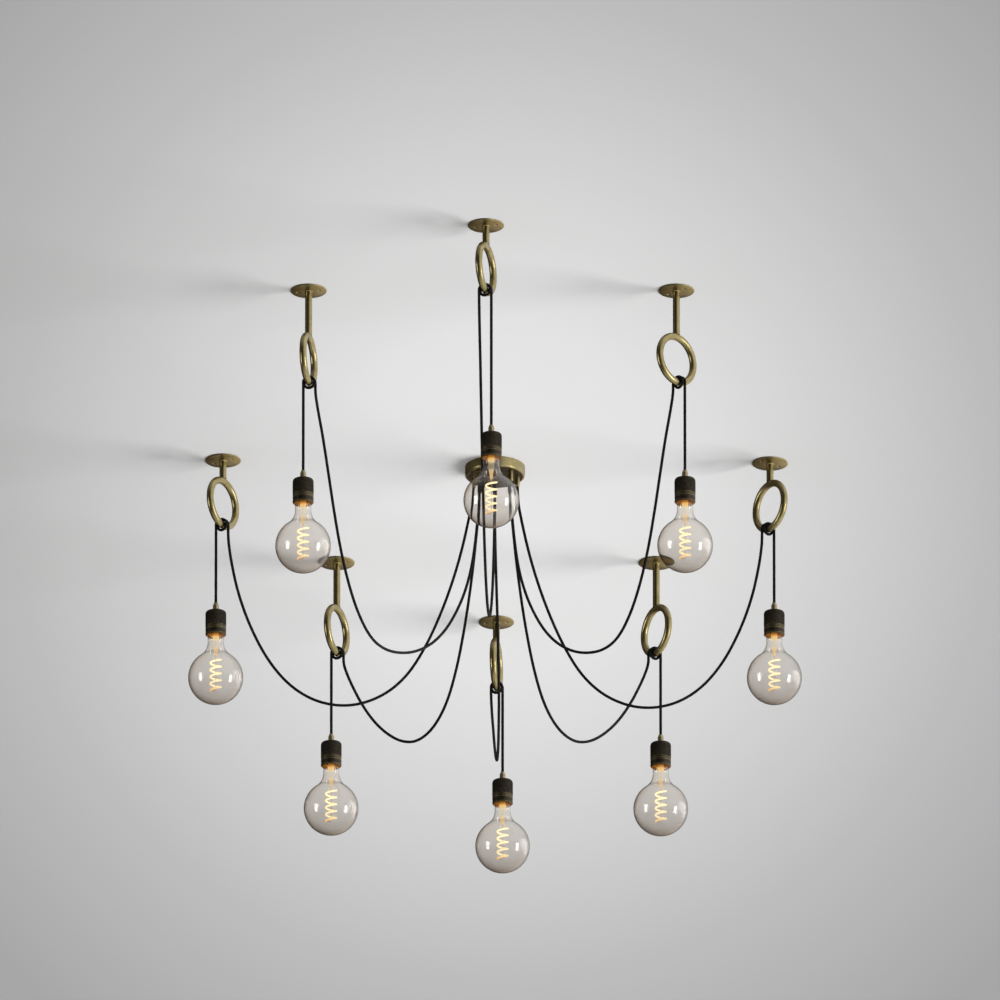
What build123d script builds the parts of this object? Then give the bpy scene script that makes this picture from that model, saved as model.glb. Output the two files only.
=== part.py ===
from build123d import *
import os
from math import asin, atan2, cos, pi, radians, sin, sqrt, tan
from typing import NamedTuple

# Spider chandelier: a ceiling canopy sends out eight fabric cords. Each one swags to a ceiling hook, wraps
# round the hook's ring and hangs down to a lampholder with a globe bulb.
# Millimetres, +Z up. The origin is the middle of the canopy on the ceiling, so the part lies below Z = 0.

# Cord
CORD_D = 6.5
CORD_BORE_CLEARANCE = 0.3
CORD_END_GAP = 0.7
RUN_SHARE = 0.45
TURN_SAMPLES = 48

# Wrap of a cord round the ring of its hook
WRAP_HALF_TURNS = 3
WRAP_PITCH = 8.0
WRAP_CLEARANCE = 1.2
WRAP_LEAD = 26.0

# Ceiling hooks
PLATE_D = 81.0
PLATE_T = 3.0
PLATE_EDGE = 1.0
PLATE_HOLE_CIRCLE_D = 49.0
PLATE_HOLE_D = 5.2
PLATE_SINK_D = 8.4
STEM_D = 16.0
STEM_SHORT = 41.0
STEM_LONG = 103.0
RING_TUBE_D = 16.0
RING_MEAN_D = 108.0
STEM_SADDLE = 4.0

# Plan places of the hooks, from the middle of the canopy, and the cord that hangs below each
NEAR_X = -20.0
NEAR_Y = -1448.0
NEAR_HANG = 327.0
FRONT_LEFT_X = -420.0
FRONT_RIGHT_X = 409.0
FRONT_Y = -1061.0
FRONT_HANG = 215.5
SIDE_LEFT_X = -619.0
SIDE_LEFT_Y = -42.0
SIDE_LEFT_HANG = 191.5
SIDE_RIGHT_X = 626.0
SIDE_RIGHT_Y = -24.0
SIDE_RIGHT_HANG = 181.0
BACK_LEFT_X = -362.0
BACK_RIGHT_X = 369.0
BACK_Y = 583.0
BACK_HANG = 200.0
FAR_X = 3.0
FAR_Y = 948.0
FAR_HANG = 207.5

# Canopy cover
CANOPY_D = 136.0
CANOPY_H = 24.0
CANOPY_WALL = 1.6
CANOPY_ROUND = 4.0

# Cord grips under the canopy and their lock nuts
GRIP_INSET = 17.0
GRIP_SHOULDER = 0.75
GRIP_L = 25.0
GRIP_TAPER_L = 4.0
GRIP_MOUTH_WALL = 0.75
GRIP_SPIGOT_WALL = 0.95
GRIP_SPIGOT_L = 6.0
GRIP_NUT_WALL = 2.0
GRIP_NUT_H = 3.6
HOLE_CLEARANCE = 0.2

# Strap on the ceiling that carries the cover, and the two screws of the cover
STRAP_W = 16.0
STRAP_T = 2.0
STRAP_HOLE_CIRCLE_D = 84.0
STRAP_HOLE_D = 5.2
STRAP_TURN = 22.5
STRAP_TAB_CLEARANCE = 5.4
STRAP_END_CLEARANCE = 0.3
COVER_SCREW_D = 4.0
COVER_SCREW_HEAD_D = 7.0
COVER_SCREW_HEAD_H = 1.6
COVER_SCREW_EDGE = 0.5
COVER_SCREW_L = 8.0
COVER_SCREW_DROP = 9.0

# Junction block under the strap and the cord tails that reach it
BLOCK_D = 44.0
BLOCK_EDGE = 1.6
BLOCK_BELOW_TAIL = 4.6
TAIL_D = 4.0
TAIL_BEND = 6.0

# Lampholder: cord grip, shell, collar
HOLDER_WALL = 1.8
HOLDER_TOP_T = 2.4
HOLDER_ROUND = 4.0
SHELL_BAND_H = 7.0
SHELL_BAND_DEPTH = 0.9
SHELL_BEAD_H = 2.4
COLLAR_H = 15.0
COLLAR_SPIGOT_H = 5.0
COLLAR_SPIGOT_WALL = 1.95
COLLAR_BEVEL = 3.2
COLLAR_LIP_H = 3.0
COLLAR_LIP_W = 1.15
MOUTH_CLEARANCE = 1.4
HOLDER_GRIP_SHOULDER = 1.95
HOLDER_GRIP_TOP_WALL = 1.45
HOLDER_GRIP_H = 21.0
HOLDER_GRIP_SKIRT_H = 15.0
NIPPLE_WALL = 1.25
NIPPLE_L = 8.0
FIT_CLEARANCE = 0.2

# Lampholder insert: ceramic core, screw sleeve, centre contact
CORE_END_RISE = 9.0
CORE_ROOF = 6.0
SLEEVE_CLEARANCE = 0.4
SLEEVE_WALL = 0.6
SLEEVE_END_RISE = 2.0
CONTACT_D = 10.0
CONTACT_T = 2.0
CONTACT_TIP_D = 5.0
CONTACT_TIP_H = 2.0

# Bulb: globe of blown glass, screw cap, stem and coiled filament
GLOBE_D = 125.0
GLOBE_DROP = 102.0
GLASS_WALL = 1.0
NECK_D = 36.0
NECK_FILLET = 45.0
NECK_SHOULDER_DROP = 1.0
CAP_D = 26.4
CAP_L = 26.0
CAP_WALL = 0.6
CAP_BELOW_CORE = 1.0
CAP_CONE_H = 5.0
CAP_BUTTON_D = 8.0
CAP_BUTTON_H = 1.7
CONTACT_GAP = 0.3
GLASS_IN_CAP = 11.0
SHOULDER_GAP = 1.0
STEM_GLASS_D = 18.0
STEM_GLASS_TIP_D = 8.0
ROD_D = 2.4
COIL_D = 26.0
COIL_QUARTERS = 18
COIL_H = 76.0
COIL_WIRE_D = 3.4
COIL_RISE = 6.0
COIL_TOP_DROP = 4.0
ARM_D = 1.6
ARM_GAP = 0.3


class Hook(NamedTuple):
    """One ceiling hook with the cord that hangs from it."""
    x: float        # plan place of the plate
    y: float
    faces: float    # plan angle of the side on which the cord hangs, square to the ring
    hand: int       # the way in which the wrap moves along the ring
    slide: float    # how far along the ring the wrap sits from the lowest point, as a share of its radius
    stem: float     # length of the stem
    hang: float     # cord from the wrap down to the lampholder's grip
    swag: str       # shape of the swag
    grip: float     # plan angle of the cord's grip under the canopy


HOOKS = [
    Hook(NEAR_X, NEAR_Y, -17.5, 1, -0.11, STEM_SHORT, NEAR_HANG, "near", 270),
    Hook(FRONT_LEFT_X, FRONT_Y, 166.8, 1, -0.15, STEM_LONG, FRONT_HANG, "front", 225),
    Hook(FRONT_RIGHT_X, FRONT_Y, -44.1, 1, 0.15, STEM_LONG, FRONT_HANG, "front", 315),
    Hook(SIDE_LEFT_X, SIDE_LEFT_Y, 147.8, 1, 0.06, STEM_SHORT, SIDE_LEFT_HANG, "side", 180),
    Hook(SIDE_RIGHT_X, SIDE_RIGHT_Y, 36.1, -1, -0.15, STEM_SHORT, SIDE_RIGHT_HANG, "side", 0),
    Hook(BACK_LEFT_X, BACK_Y, 156.3, 1, -0.07, STEM_LONG, BACK_HANG, "back", 135),
    Hook(BACK_RIGHT_X, BACK_Y, 30.7, -1, -0.15, STEM_LONG, BACK_HANG, "back", 45),
    Hook(FAR_X, FAR_Y, -8.0, 1, 0.15, STEM_SHORT, FAR_HANG, "far", 90),
]

# The free points of each swag: distance out from the grip, height, and how far the cord bows to the right
# of the straight way from the grip to its hook. The number before the points is the distance that they span.
SWAGS = {
    "near": (1423, [
        (18, -120, 0), (52, -185, 0), (100, -262, 0), (155, -335, 0), (218, -402, 0), (288, -462, 0),
        (362, -515, 0), (442, -560, 0), (527, -596, 0), (618, -620, 0), (712, -632, 0), (806, -626, 0),
        (897, -604, 0), (982, -567, 0), (1062, -520, 0), (1136, -465, 0), (1203, -403, 0), (1264, -340, 0),
        (1320, -286, 0), (1372, -242, 0), (1408, -213, 0)]),
    "front": (1090, [
        (6, -125, 0), (22, -198, 0), (50, -280, 0), (94, -356, 0), (150, -425, 0), (213, -488, 0),
        (285, -545, 0), (364, -594, 0), (448, -636, 0), (536, -670, 0), (627, -696, 0), (718, -704, 0),
        (800, -678, 0), (868, -628, 0), (924, -560, 0), (968, -481, 0), (1006, -401, 0), (1040, -332, 0),
        (1068, -288, 0)]),
    "side": (559, [
        (8, -125, 0), (24, -203, 0), (46, -285, 0), (74, -367, 0), (108, -447, 0), (150, -519, 0),
        (206, -570, 0), (278, -597, 0), (352, -590, 0), (416, -553, 0), (468, -490, 0), (508, -410, 0),
        (536, -328, 0), (551, -255, 0), (557, -213, 0)]),
    "back": (634, [
        (8, -125, 0), (23, -200, 0), (44, -283, 0), (71, -366, 0), (105, -446, 0), (150, -514, 0),
        (212, -553, 0), (286, -560, 0), (358, -536, 0), (426, -494, 0), (490, -441, 0), (547, -379, 0),
        (592, -318, 0), (618, -278, 0)]),
    "far": (901, [
        (14, -122, 0), (46, -192, 2), (90, -264, 5), (143, -331, 8), (205, -391, 10), (275, -440, 12),
        (352, -473, 12), (434, -491, 12), (518, -487, 11), (598, -463, 10), (670, -422, 8), (735, -369, 6),
        (793, -309, 4), (842, -257, 2), (879, -220, 1)]),
}
SWAG_EXIT_L = 30.0

# Sizes that follow from those above
RING_R = RING_MEAN_D / 2
RING_OUTER_R = RING_R + RING_TUBE_D / 2
WRAP_R = RING_TUBE_D / 2 + WRAP_CLEARANCE + CORD_D / 2
WRAP_TURNS = WRAP_HALF_TURNS / 2
CORD_BORE_D = CORD_D + 2 * CORD_BORE_CLEARANCE
GRIP_CIRCLE_D = CANOPY_D - 2 * GRIP_INSET
GRIP_MOUTH_D = CORD_BORE_D + 2 * GRIP_MOUTH_WALL
GRIP_SPIGOT_D = CORD_BORE_D + 2 * GRIP_SPIGOT_WALL
GRIP_D = GRIP_SPIGOT_D + 2 * GRIP_SHOULDER
GRIP_NUT_FLATS = GRIP_SPIGOT_D + 2 * GRIP_NUT_WALL
CANOPY_FLOOR_Z = CANOPY_WALL - CANOPY_H
GRIP_END_Z = -CANOPY_H - GRIP_L
SPIGOT_TOP_Z = CANOPY_FLOOR_Z + GRIP_SPIGOT_L
STRAP_TAB_H = -CANOPY_FLOOR_Z - STRAP_TAB_CLEARANCE
TAIL_Z = SPIGOT_TOP_Z + TAIL_BEND
BLOCK_H = BLOCK_BELOW_TAIL - TAIL_Z - STRAP_T
MOUTH_D = NECK_D + 2 * MOUTH_CLEARANCE
HOLDER_R = MOUTH_D / 2 + COLLAR_LIP_W + COLLAR_BEVEL
SHELL_INNER_R = HOLDER_R - HOLDER_WALL
SPIGOT_R = SHELL_INNER_R - FIT_CLEARANCE
SPIGOT_INNER_R = SPIGOT_R - COLLAR_SPIGOT_WALL
CORE_R = SPIGOT_INNER_R - FIT_CLEARANCE
NIPPLE_D = CORD_BORE_D + 2 * NIPPLE_WALL
HOLDER_GRIP_TOP_D = CORD_BORE_D + 2 * HOLDER_GRIP_TOP_WALL
HOLDER_GRIP_D = NIPPLE_D + 2 * HOLDER_GRIP_SHOULDER
CORE_TOP_Z = -NIPPLE_L
SLEEVE_TOP_Z = CORE_TOP_Z - CORE_ROOF
CONTACT_END_Z = SLEEVE_TOP_Z - CONTACT_T - CONTACT_TIP_H
BUTTON_TOP_Z = CONTACT_END_Z - CONTACT_GAP
CAP_TOP_Z = BUTTON_TOP_Z - CAP_BUTTON_H - CAP_CONE_H
CAP_END_Z = CAP_TOP_Z - CAP_L
CORE_END_Z = CAP_END_Z + CAP_BELOW_CORE
MOUTH_Z = CORE_END_Z - CORE_END_RISE
SHELL_H = -MOUTH_Z - COLLAR_H
SLEEVE_R = CAP_D / 2 + SLEEVE_CLEARANCE
GLASS_END_R = CAP_D / 2 - CAP_WALL - FIT_CLEARANCE
GLASS_TOP_Z = CAP_END_Z + GLASS_IN_CAP
GLOBE_Z = MOUTH_Z - GLOBE_DROP
COIL_TURNS = COIL_QUARTERS / 4
COIL_TOP_Z = GLOBE_Z + COIL_H / 2 + COIL_RISE
COIL_END_Z = COIL_TOP_Z - COIL_H
STEM_GLASS_END_Z = COIL_TOP_Z + COIL_TOP_DROP


def plan(angle, length=1.0):
    """A level vector at a plan angle in degrees."""
    return Vector(cos(radians(angle)), sin(radians(angle)), 0) * length


def ring_of(*points):
    """Turns an outline of (radius, height) points into a solid of revolution about Z."""
    outline = Polyline(*[(r, 0, z) for r, z in points], close=True)
    return revolve(make_face(outline), Axis.Z)


def save(name, solids):
    """Writes one node as a file of separate solids."""
    bodies = [solid for shape in solids for solid in shape.solids()]
    export_step(Compound(children=bodies) if len(bodies) > 1 else bodies[0], f"parts/{name}.step")


# Places on a hook
def ring_centre(hook):
    """Middle of the hook's ring."""
    return Vector(hook.x, hook.y, -PLATE_T - hook.stem - RING_OUTER_R)


def along_ring(hook):
    """Level direction of the ring at its lowest point, the way in which the wrap moves."""
    return plan(hook.faces + 90 * hook.hand)


def wrap_centre(hook):
    """Middle of the ring's tube where the cord is wrapped round it."""
    down = Vector(0, 0, -cos(asin(hook.slide)))
    return ring_centre(hook) + (along_ring(hook) * hook.slide + down) * RING_R


def wrap_point(hook, turn):
    """Middle of the cord after so many turns round the ring, from the swag's side."""
    angle = 2 * pi * turn
    across = plan(hook.faces, -WRAP_R * cos(angle)) + Vector(0, 0, WRAP_R * sin(angle))
    return wrap_centre(hook) + across + along_ring(hook) * (WRAP_PITCH * (turn - WRAP_TURNS / 2))


def wrap_direction(hook, turn):
    """Way of the cord after so many turns: straight up at the start and straight down at the end."""
    angle = 2 * pi * turn
    around = plan(hook.faces, WRAP_R * sin(angle)) + Vector(0, 0, WRAP_R * cos(angle))
    is_end = turn in (0, WRAP_TURNS)
    return (around if is_end else around + along_ring(hook) * (WRAP_PITCH / (2 * pi))).normalized()


def holder_top(hook):
    """Middle of the top of the lampholder's shell."""
    return wrap_point(hook, WRAP_TURNS) - Vector(0, 0, hook.hang + HOLDER_GRIP_H)


# Paths of arcs
def arc_pair(start, start_way, end, end_way):
    """Two arcs that leave one point and reach another in the given directions."""
    chord = end - start
    ways = start_way + end_way
    spread = 2 * (1 - start_way.dot(end_way))
    along = chord.dot(ways)
    reach = (sqrt(along * along + spread * chord.dot(chord)) - along) / spread
    start_corner = start + start_way * reach
    end_corner = end - end_way * reach
    meeting = (start_corner + end_corner) * 0.5
    middle_way = (end_corner - start_corner).normalized()
    return [TangentArc(start, meeting, tangent=start_way), TangentArc(meeting, end, tangent=middle_way)]


def corner_radii(points):
    """The largest arc that each corner's two runs have room for."""
    radii = []
    for before, corner, after in zip(points, points[1:], points[2:]):
        run_in = corner - before
        run_out = after - corner
        half_turn = radians(run_in.get_angle(run_out)) / 2
        radii.append(RUN_SHARE * min(run_in.length, run_out.length) / tan(half_turn))
    return radii


def tube(edges, start, way, diameter):
    """A round tube along edges that meet in line."""
    return sweep(Plane(origin=start, z_dir=way) * Circle(diameter / 2), path=Wire(edges))


def least_gap(points, diameter):
    """Least gap between the turns of a winding, measured on points along its middle."""
    half_turn = TURN_SAMPLES // 2
    gaps = [
        (points[i] - points[j]).length
        for i in range(len(points)) for j in range(i + half_turn, len(points))]
    return min(gaps) - diameter


# Hooks
def hook_plate(hook):
    plate = chamfer(Cylinder(PLATE_D / 2, PLATE_T).faces().sort_by(Axis.Z)[0].edges(), PLATE_EDGE)
    plate = Pos(hook.x, hook.y, -PLATE_T / 2) * plate
    sink_h = (PLATE_SINK_D - PLATE_HOLE_D) / 2
    for side in (-1, 1):
        place = Vector(hook.x, hook.y, 0) + plan(hook.faces, side * PLATE_HOLE_CIRCLE_D / 2)
        hole = Cylinder(PLATE_HOLE_D / 2, 2 * PLATE_T)
        sink = Pos(0, 0, sink_h / 2 - PLATE_T) * Cone(PLATE_SINK_D / 2, PLATE_HOLE_D / 2, sink_h)
        plate -= Pos(*place) * (hole + sink)
    return plate


def hook_ring(hook):
    upright = Plane(origin=ring_centre(hook), z_dir=plan(hook.faces))
    return upright * Torus(RING_R, RING_TUBE_D / 2)


def hook_stem(hook, ring):
    length = hook.stem + STEM_SADDLE
    stem = Pos(hook.x, hook.y, -PLATE_T - length / 2) * Cylinder(STEM_D / 2, length)
    return stem - ring


# Swag cords, each with its wrap
def swag_points(hook):
    """The route of a swag, from inside the canopy to the start of its wrap."""
    grip = plan(hook.grip, GRIP_CIRCLE_D / 2)
    end = wrap_point(hook, 0)
    way_out = Vector(end.X - grip.X, end.Y - grip.Y, 0)
    to_right = Vector(way_out.Y, -way_out.X, 0).normalized()
    span, free_points = SWAGS[hook.swag]
    points = [grip + Vector(0, 0, SPIGOT_TOP_Z), grip + Vector(0, 0, GRIP_END_Z - SWAG_EXIT_L)]
    for out, height, bow in free_points:
        points.append(grip + way_out * (out / span) + to_right * bow + Vector(0, 0, height))
    return points + [end - Vector(0, 0, WRAP_LEAD), end]


def swag_cord(hook):
    points = swag_points(hook)
    radii = corner_radii(points)
    edges = FilletPolyline(*points, radius=radii).edges()
    quarters = [n / 4 for n in range(2 * WRAP_HALF_TURNS + 1)]
    for turn, next_turn in zip(quarters, quarters[1:]):
        edges += arc_pair(
            wrap_point(hook, turn), wrap_direction(hook, turn),
            wrap_point(hook, next_turn), wrap_direction(hook, next_turn))
    cord = tube(edges, points[0], Vector(0, 0, -1), CORD_D)
    length = sum(edge.length for edge in edges)
    steps = WRAP_HALF_TURNS * TURN_SAMPLES // 2
    gap = least_gap([wrap_point(hook, n / TURN_SAMPLES) for n in range(steps + 1)], CORD_D)
    volume_share = cord.volume / (length * pi * CORD_D ** 2 / 4)
    print(f"swag {hook.swag}: length {length:.0f}, radii {[round(r) for r in radii]}, "
          f"wrap radius {WRAP_R:.1f}, wrap gap {gap:.2f}, volume / (section x length) {volume_share:.4f}")
    return cord


def drop_cord(hook):
    """The taut cord from the wrap's end down into the lampholder, where it stands on the core."""
    top = wrap_point(hook, WRAP_TURNS) - Vector(0, 0, CORD_END_GAP)
    bottom = holder_top(hook) + Vector(0, 0, CORE_TOP_Z)
    length = top.Z - bottom.Z
    print(f"drop cord: length {length:.0f}, straight")
    return Pos(top.X, top.Y, (top.Z + bottom.Z) / 2) * Cylinder(CORD_D / 2, length)


# Canopy
def grip_places():
    return [plan(hook.grip, GRIP_CIRCLE_D / 2) for hook in HOOKS]


def cover_screw_bore():
    """The way of both screws of the cover, right across the canopy."""
    bore = Rot(0, 90, 0) * Cylinder(COVER_SCREW_D / 2 + HOLE_CLEARANCE, 2 * CANOPY_D)
    return Pos(0, 0, -COVER_SCREW_DROP) * (Rot(0, 0, STRAP_TURN) * bore)


def canopy_cover():
    radius = CANOPY_D / 2
    cup = Pos(0, 0, -CANOPY_H / 2) * Cylinder(radius, CANOPY_H)
    cup = fillet(cup.faces().sort_by(Axis.Z)[0].edges(), CANOPY_ROUND)
    inside = Pos(0, 0, CANOPY_FLOOR_Z / 2) * Cylinder(radius - CANOPY_WALL, -CANOPY_FLOOR_Z)
    inner_round = max(CANOPY_ROUND - CANOPY_WALL, CANOPY_WALL / 2)
    cup -= fillet(inside.faces().sort_by(Axis.Z)[0].edges(), inner_round)
    hole = Pos(0, 0, -CANOPY_H) * Cylinder(GRIP_SPIGOT_D / 2 + HOLE_CLEARANCE, 4 * CANOPY_WALL)
    for place in grip_places():
        cup -= Pos(place.X, place.Y, 0) * hole
    return cup - cover_screw_bore()


def canopy_grip():
    bore = CORD_BORE_D / 2
    return ring_of(
        (bore, SPIGOT_TOP_Z), (GRIP_SPIGOT_D / 2, SPIGOT_TOP_Z), (GRIP_SPIGOT_D / 2, -CANOPY_H),
        (GRIP_D / 2, -CANOPY_H), (GRIP_D / 2, GRIP_END_Z + GRIP_TAPER_L), (GRIP_MOUTH_D / 2, GRIP_END_Z),
        (bore, GRIP_END_Z))


def grip_nut():
    nut = extrude(RegularPolygon(GRIP_NUT_FLATS / 2, 6, major_radius=False), GRIP_NUT_H)
    nut -= Cylinder(GRIP_SPIGOT_D / 2 + HOLE_CLEARANCE, 3 * GRIP_NUT_H)
    return Pos(0, 0, CANOPY_FLOOR_Z) * nut


def ceiling_strap():
    inner_r = CANOPY_D / 2 - CANOPY_WALL - STRAP_END_CLEARANCE
    reach = sqrt(inner_r ** 2 - (STRAP_W / 2) ** 2)
    strap = Pos(0, 0, -STRAP_T / 2) * Box(2 * reach, STRAP_W, STRAP_T)
    for side in (-1, 1):
        tab_x = side * (reach - STRAP_T / 2)
        strap += Pos(tab_x, 0, -STRAP_TAB_H / 2) * Box(STRAP_T, STRAP_W, STRAP_TAB_H)
        hole_x = side * STRAP_HOLE_CIRCLE_D / 2
        strap -= Pos(hole_x, 0, 0) * Cylinder(STRAP_HOLE_D / 2, 4 * STRAP_T)
    return Rot(0, 0, STRAP_TURN) * strap - cover_screw_bore()


def cover_screw():
    """A screw through the cover's wall and the strap's tab, head outside."""
    shank = Rot(0, 90, 0) * Cylinder(COVER_SCREW_D / 2, COVER_SCREW_L)
    shank = Pos(CANOPY_D / 2 - COVER_SCREW_L / 2, 0, 0) * shank
    head = Cylinder(COVER_SCREW_HEAD_D / 2, COVER_SCREW_HEAD_H)
    head = chamfer(head.faces().sort_by(Axis.Z)[-1].edges(), COVER_SCREW_EDGE)
    head = Pos(CANOPY_D / 2 + COVER_SCREW_HEAD_H / 2, 0, 0) * (Rot(0, 90, 0) * head)
    return Pos(0, 0, -COVER_SCREW_DROP) * (Rot(0, 0, STRAP_TURN) * (shank + head))


def junction_block():
    block = Pos(0, 0, -STRAP_T - BLOCK_H / 2) * Cylinder(BLOCK_D / 2, BLOCK_H)
    return chamfer(block.faces().sort_by(Axis.Z)[0].edges(), BLOCK_EDGE)


def cord_tail():
    """The end of a cord inside the canopy, from its grip's spigot to the junction block, along +X."""
    start = Vector(GRIP_CIRCLE_D / 2, 0, SPIGOT_TOP_Z)
    corner = Vector(GRIP_CIRCLE_D / 2 - TAIL_BEND, 0, TAIL_Z)
    arc = TangentArc(start, corner, tangent=(0, 0, 1))
    run = Line(corner, (BLOCK_D / 2, 0, TAIL_Z))
    return tube([arc, run], start, Vector(0, 0, 1), TAIL_D)


# Lampholder, drawn with the middle of its shell's top at the origin
def holder_grip():
    bore = CORD_BORE_D / 2
    return ring_of(
        (bore, -NIPPLE_L), (NIPPLE_D / 2, -NIPPLE_L), (NIPPLE_D / 2, 0), (HOLDER_GRIP_D / 2, 0),
        (HOLDER_GRIP_D / 2, HOLDER_GRIP_SKIRT_H), (HOLDER_GRIP_TOP_D / 2, HOLDER_GRIP_H),
        (bore, HOLDER_GRIP_H))


def holder_shell():
    """The upper shell: a cup with a rounded top and a banded lower end."""
    band_top = SHELL_BAND_H - SHELL_H
    bead_mid = (band_top - SHELL_H) / 2
    bead_top = bead_mid + SHELL_BEAD_H / 2
    bead_end = bead_mid - SHELL_BEAD_H / 2
    band_r = HOLDER_R - SHELL_BAND_DEPTH
    hole_r = NIPPLE_D / 2 + HOLE_CLEARANCE
    cup = ring_of(
        (hole_r, 0), (HOLDER_R, 0), (HOLDER_R, band_top), (band_r, band_top), (band_r, bead_top),
        (HOLDER_R, bead_top), (HOLDER_R, bead_end), (band_r, bead_end), (band_r, -SHELL_H),
        (SHELL_INNER_R, -SHELL_H), (SHELL_INNER_R, -HOLDER_TOP_T), (hole_r, -HOLDER_TOP_T))
    top_edges = cup.edges().filter_by(GeomType.CIRCLE).group_by(Axis.Z)[-1]
    return fillet(top_edges.sort_by(SortBy.RADIUS)[-1], HOLDER_ROUND)


def holder_collar():
    """The lower collar: its spigot goes up inside the shell and carries the core."""
    spigot_top = COLLAR_SPIGOT_H - SHELL_H
    return ring_of(
        (SPIGOT_INNER_R, spigot_top), (SPIGOT_R, spigot_top), (SPIGOT_R, -SHELL_H), (HOLDER_R, -SHELL_H),
        (HOLDER_R, MOUTH_Z + COLLAR_BEVEL), (HOLDER_R - COLLAR_BEVEL, MOUTH_Z), (MOUTH_D / 2, MOUTH_Z),
        (MOUTH_D / 2, MOUTH_Z + COLLAR_LIP_H), (SPIGOT_INNER_R, MOUTH_Z + COLLAR_LIP_H))


def holder_core():
    """Ceramic core: it stands on the collar's spigot and holds the sleeve and the contact."""
    shoulder_z = COLLAR_SPIGOT_H - SHELL_H
    bore_r = SLEEVE_R + SLEEVE_WALL + FIT_CLEARANCE / 2
    return ring_of(
        (0, CORE_TOP_Z), (SPIGOT_R, CORE_TOP_Z), (SPIGOT_R, shoulder_z), (CORE_R, shoulder_z),
        (CORE_R, CORE_END_Z), (bore_r, CORE_END_Z), (bore_r, SLEEVE_TOP_Z), (0, SLEEVE_TOP_Z))


def screw_sleeve():
    outer_r = SLEEVE_R + SLEEVE_WALL
    end_z = CORE_END_Z + SLEEVE_END_RISE
    return ring_of((SLEEVE_R, SLEEVE_TOP_Z), (outer_r, SLEEVE_TOP_Z), (outer_r, end_z), (SLEEVE_R, end_z))


def centre_contact():
    step_z = SLEEVE_TOP_Z - CONTACT_T
    radius = CONTACT_D / 2
    tip_r = CONTACT_TIP_D / 2
    return ring_of(
        (0, SLEEVE_TOP_Z), (radius, SLEEVE_TOP_Z), (radius, step_z), (tip_r, step_z), (tip_r, CONTACT_END_Z),
        (0, CONTACT_END_Z))


# Bulb, drawn in the lampholder's place
def polar(radius, angle, z):
    """A point of a circle in the outline plane, at an angle from level."""
    return (radius * cos(angle), 0, z + radius * sin(angle))


def globe_edges(wall):
    """Neck line, fillet and globe of the glass, drawn in by a wall: from the shoulder to the bottom pole."""
    neck_r = NECK_D / 2 - wall
    globe_r = GLOBE_D / 2 - wall
    round_r = NECK_FILLET + wall
    round_x = neck_r + round_r
    rise = sqrt((globe_r + round_r) ** 2 - round_x ** 2)
    lean = atan2(rise, round_x)
    round_z = GLOBE_Z + rise
    round_middle = polar(round_r, pi + lean / 2, round_z)
    middle = (round_x + round_middle[0], 0, round_middle[2])
    touch = polar(globe_r, lean, GLOBE_Z)
    shoulder = (neck_r, 0, MOUTH_Z - NECK_SHOULDER_DROP)
    top_of_round = (neck_r, 0, round_z)
    pole = (0, 0, GLOBE_Z - globe_r)
    globe_middle = polar(globe_r, (lean - pi / 2) / 2, GLOBE_Z)
    return [
        Line(shoulder, top_of_round), ThreePointArc(top_of_round, middle, touch),
        ThreePointArc(touch, globe_middle, pole)]


def bulb_glass():
    """Blown glass with an even wall, open inside its cap."""
    outer = globe_edges(0)
    inner = globe_edges(GLASS_WALL)
    inner_r = GLASS_END_R - GLASS_WALL
    turn_z = CAP_END_Z - SHOULDER_GAP
    outer_top = Polyline((GLASS_END_R, 0, GLASS_TOP_Z), (GLASS_END_R, 0, turn_z), outer[0] @ 0)
    inner_top = Polyline(
        inner[0] @ 0, (inner_r, 0, turn_z - GLASS_WALL / 2), (inner_r, 0, GLASS_TOP_Z),
        (GLASS_END_R, 0, GLASS_TOP_Z))
    poles = Line(outer[2] @ 1, inner[2] @ 1)
    edges = outer_top.edges() + outer + [poles] + inner + inner_top.edges()
    return revolve(make_face(edges), Axis.Z)


def bulb_cap():
    """Screw cap: a thin cup with an insulating cone and a contact button on top."""
    outer_r = CAP_D / 2
    inner_r = outer_r - CAP_WALL
    roof_z = CAP_TOP_Z - CAP_WALL
    return ring_of(
        (inner_r, CAP_END_Z), (outer_r, CAP_END_Z), (outer_r, CAP_TOP_Z),
        (CAP_BUTTON_D / 2, CAP_TOP_Z + CAP_CONE_H), (CAP_BUTTON_D / 2, BUTTON_TOP_Z), (0, BUTTON_TOP_Z),
        (0, roof_z), (inner_r, roof_z))


def bulb_mount():
    """Glass stem that closes the neck, the rod down the middle and two arms that hold the coil."""
    flare_r = GLASS_END_R - GLASS_WALL - FIT_CLEARANCE
    flare_h = STEM_GLASS_D / 2
    stem = ring_of(
        (0, GLASS_TOP_Z), (flare_r, GLASS_TOP_Z), (STEM_GLASS_D / 2, GLASS_TOP_Z - flare_h),
        (STEM_GLASS_TIP_D / 2, STEM_GLASS_END_Z), (0, STEM_GLASS_END_Z))
    rod_l = STEM_GLASS_END_Z - COIL_END_Z
    rod = Pos(0, 0, STEM_GLASS_END_Z - rod_l / 2) * Cylinder(ROD_D / 2, rod_l)
    arm_l = COIL_D / 2 - COIL_WIRE_D / 2 - ARM_GAP
    arm = Pos(arm_l / 2, 0, 0) * (Rot(0, 90, 0) * Cylinder(ARM_D / 2, arm_l))
    top_arm = Pos(0, 0, COIL_TOP_Z) * arm
    end_arm = Pos(0, 0, COIL_END_Z) * (Rot(0, 0, 360 * COIL_TURNS) * arm)
    return stem + rod + top_arm + end_arm


def coil_point(turn):
    return plan(360 * turn, COIL_D / 2) + Vector(0, 0, COIL_TOP_Z - COIL_H * turn / COIL_TURNS)


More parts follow.
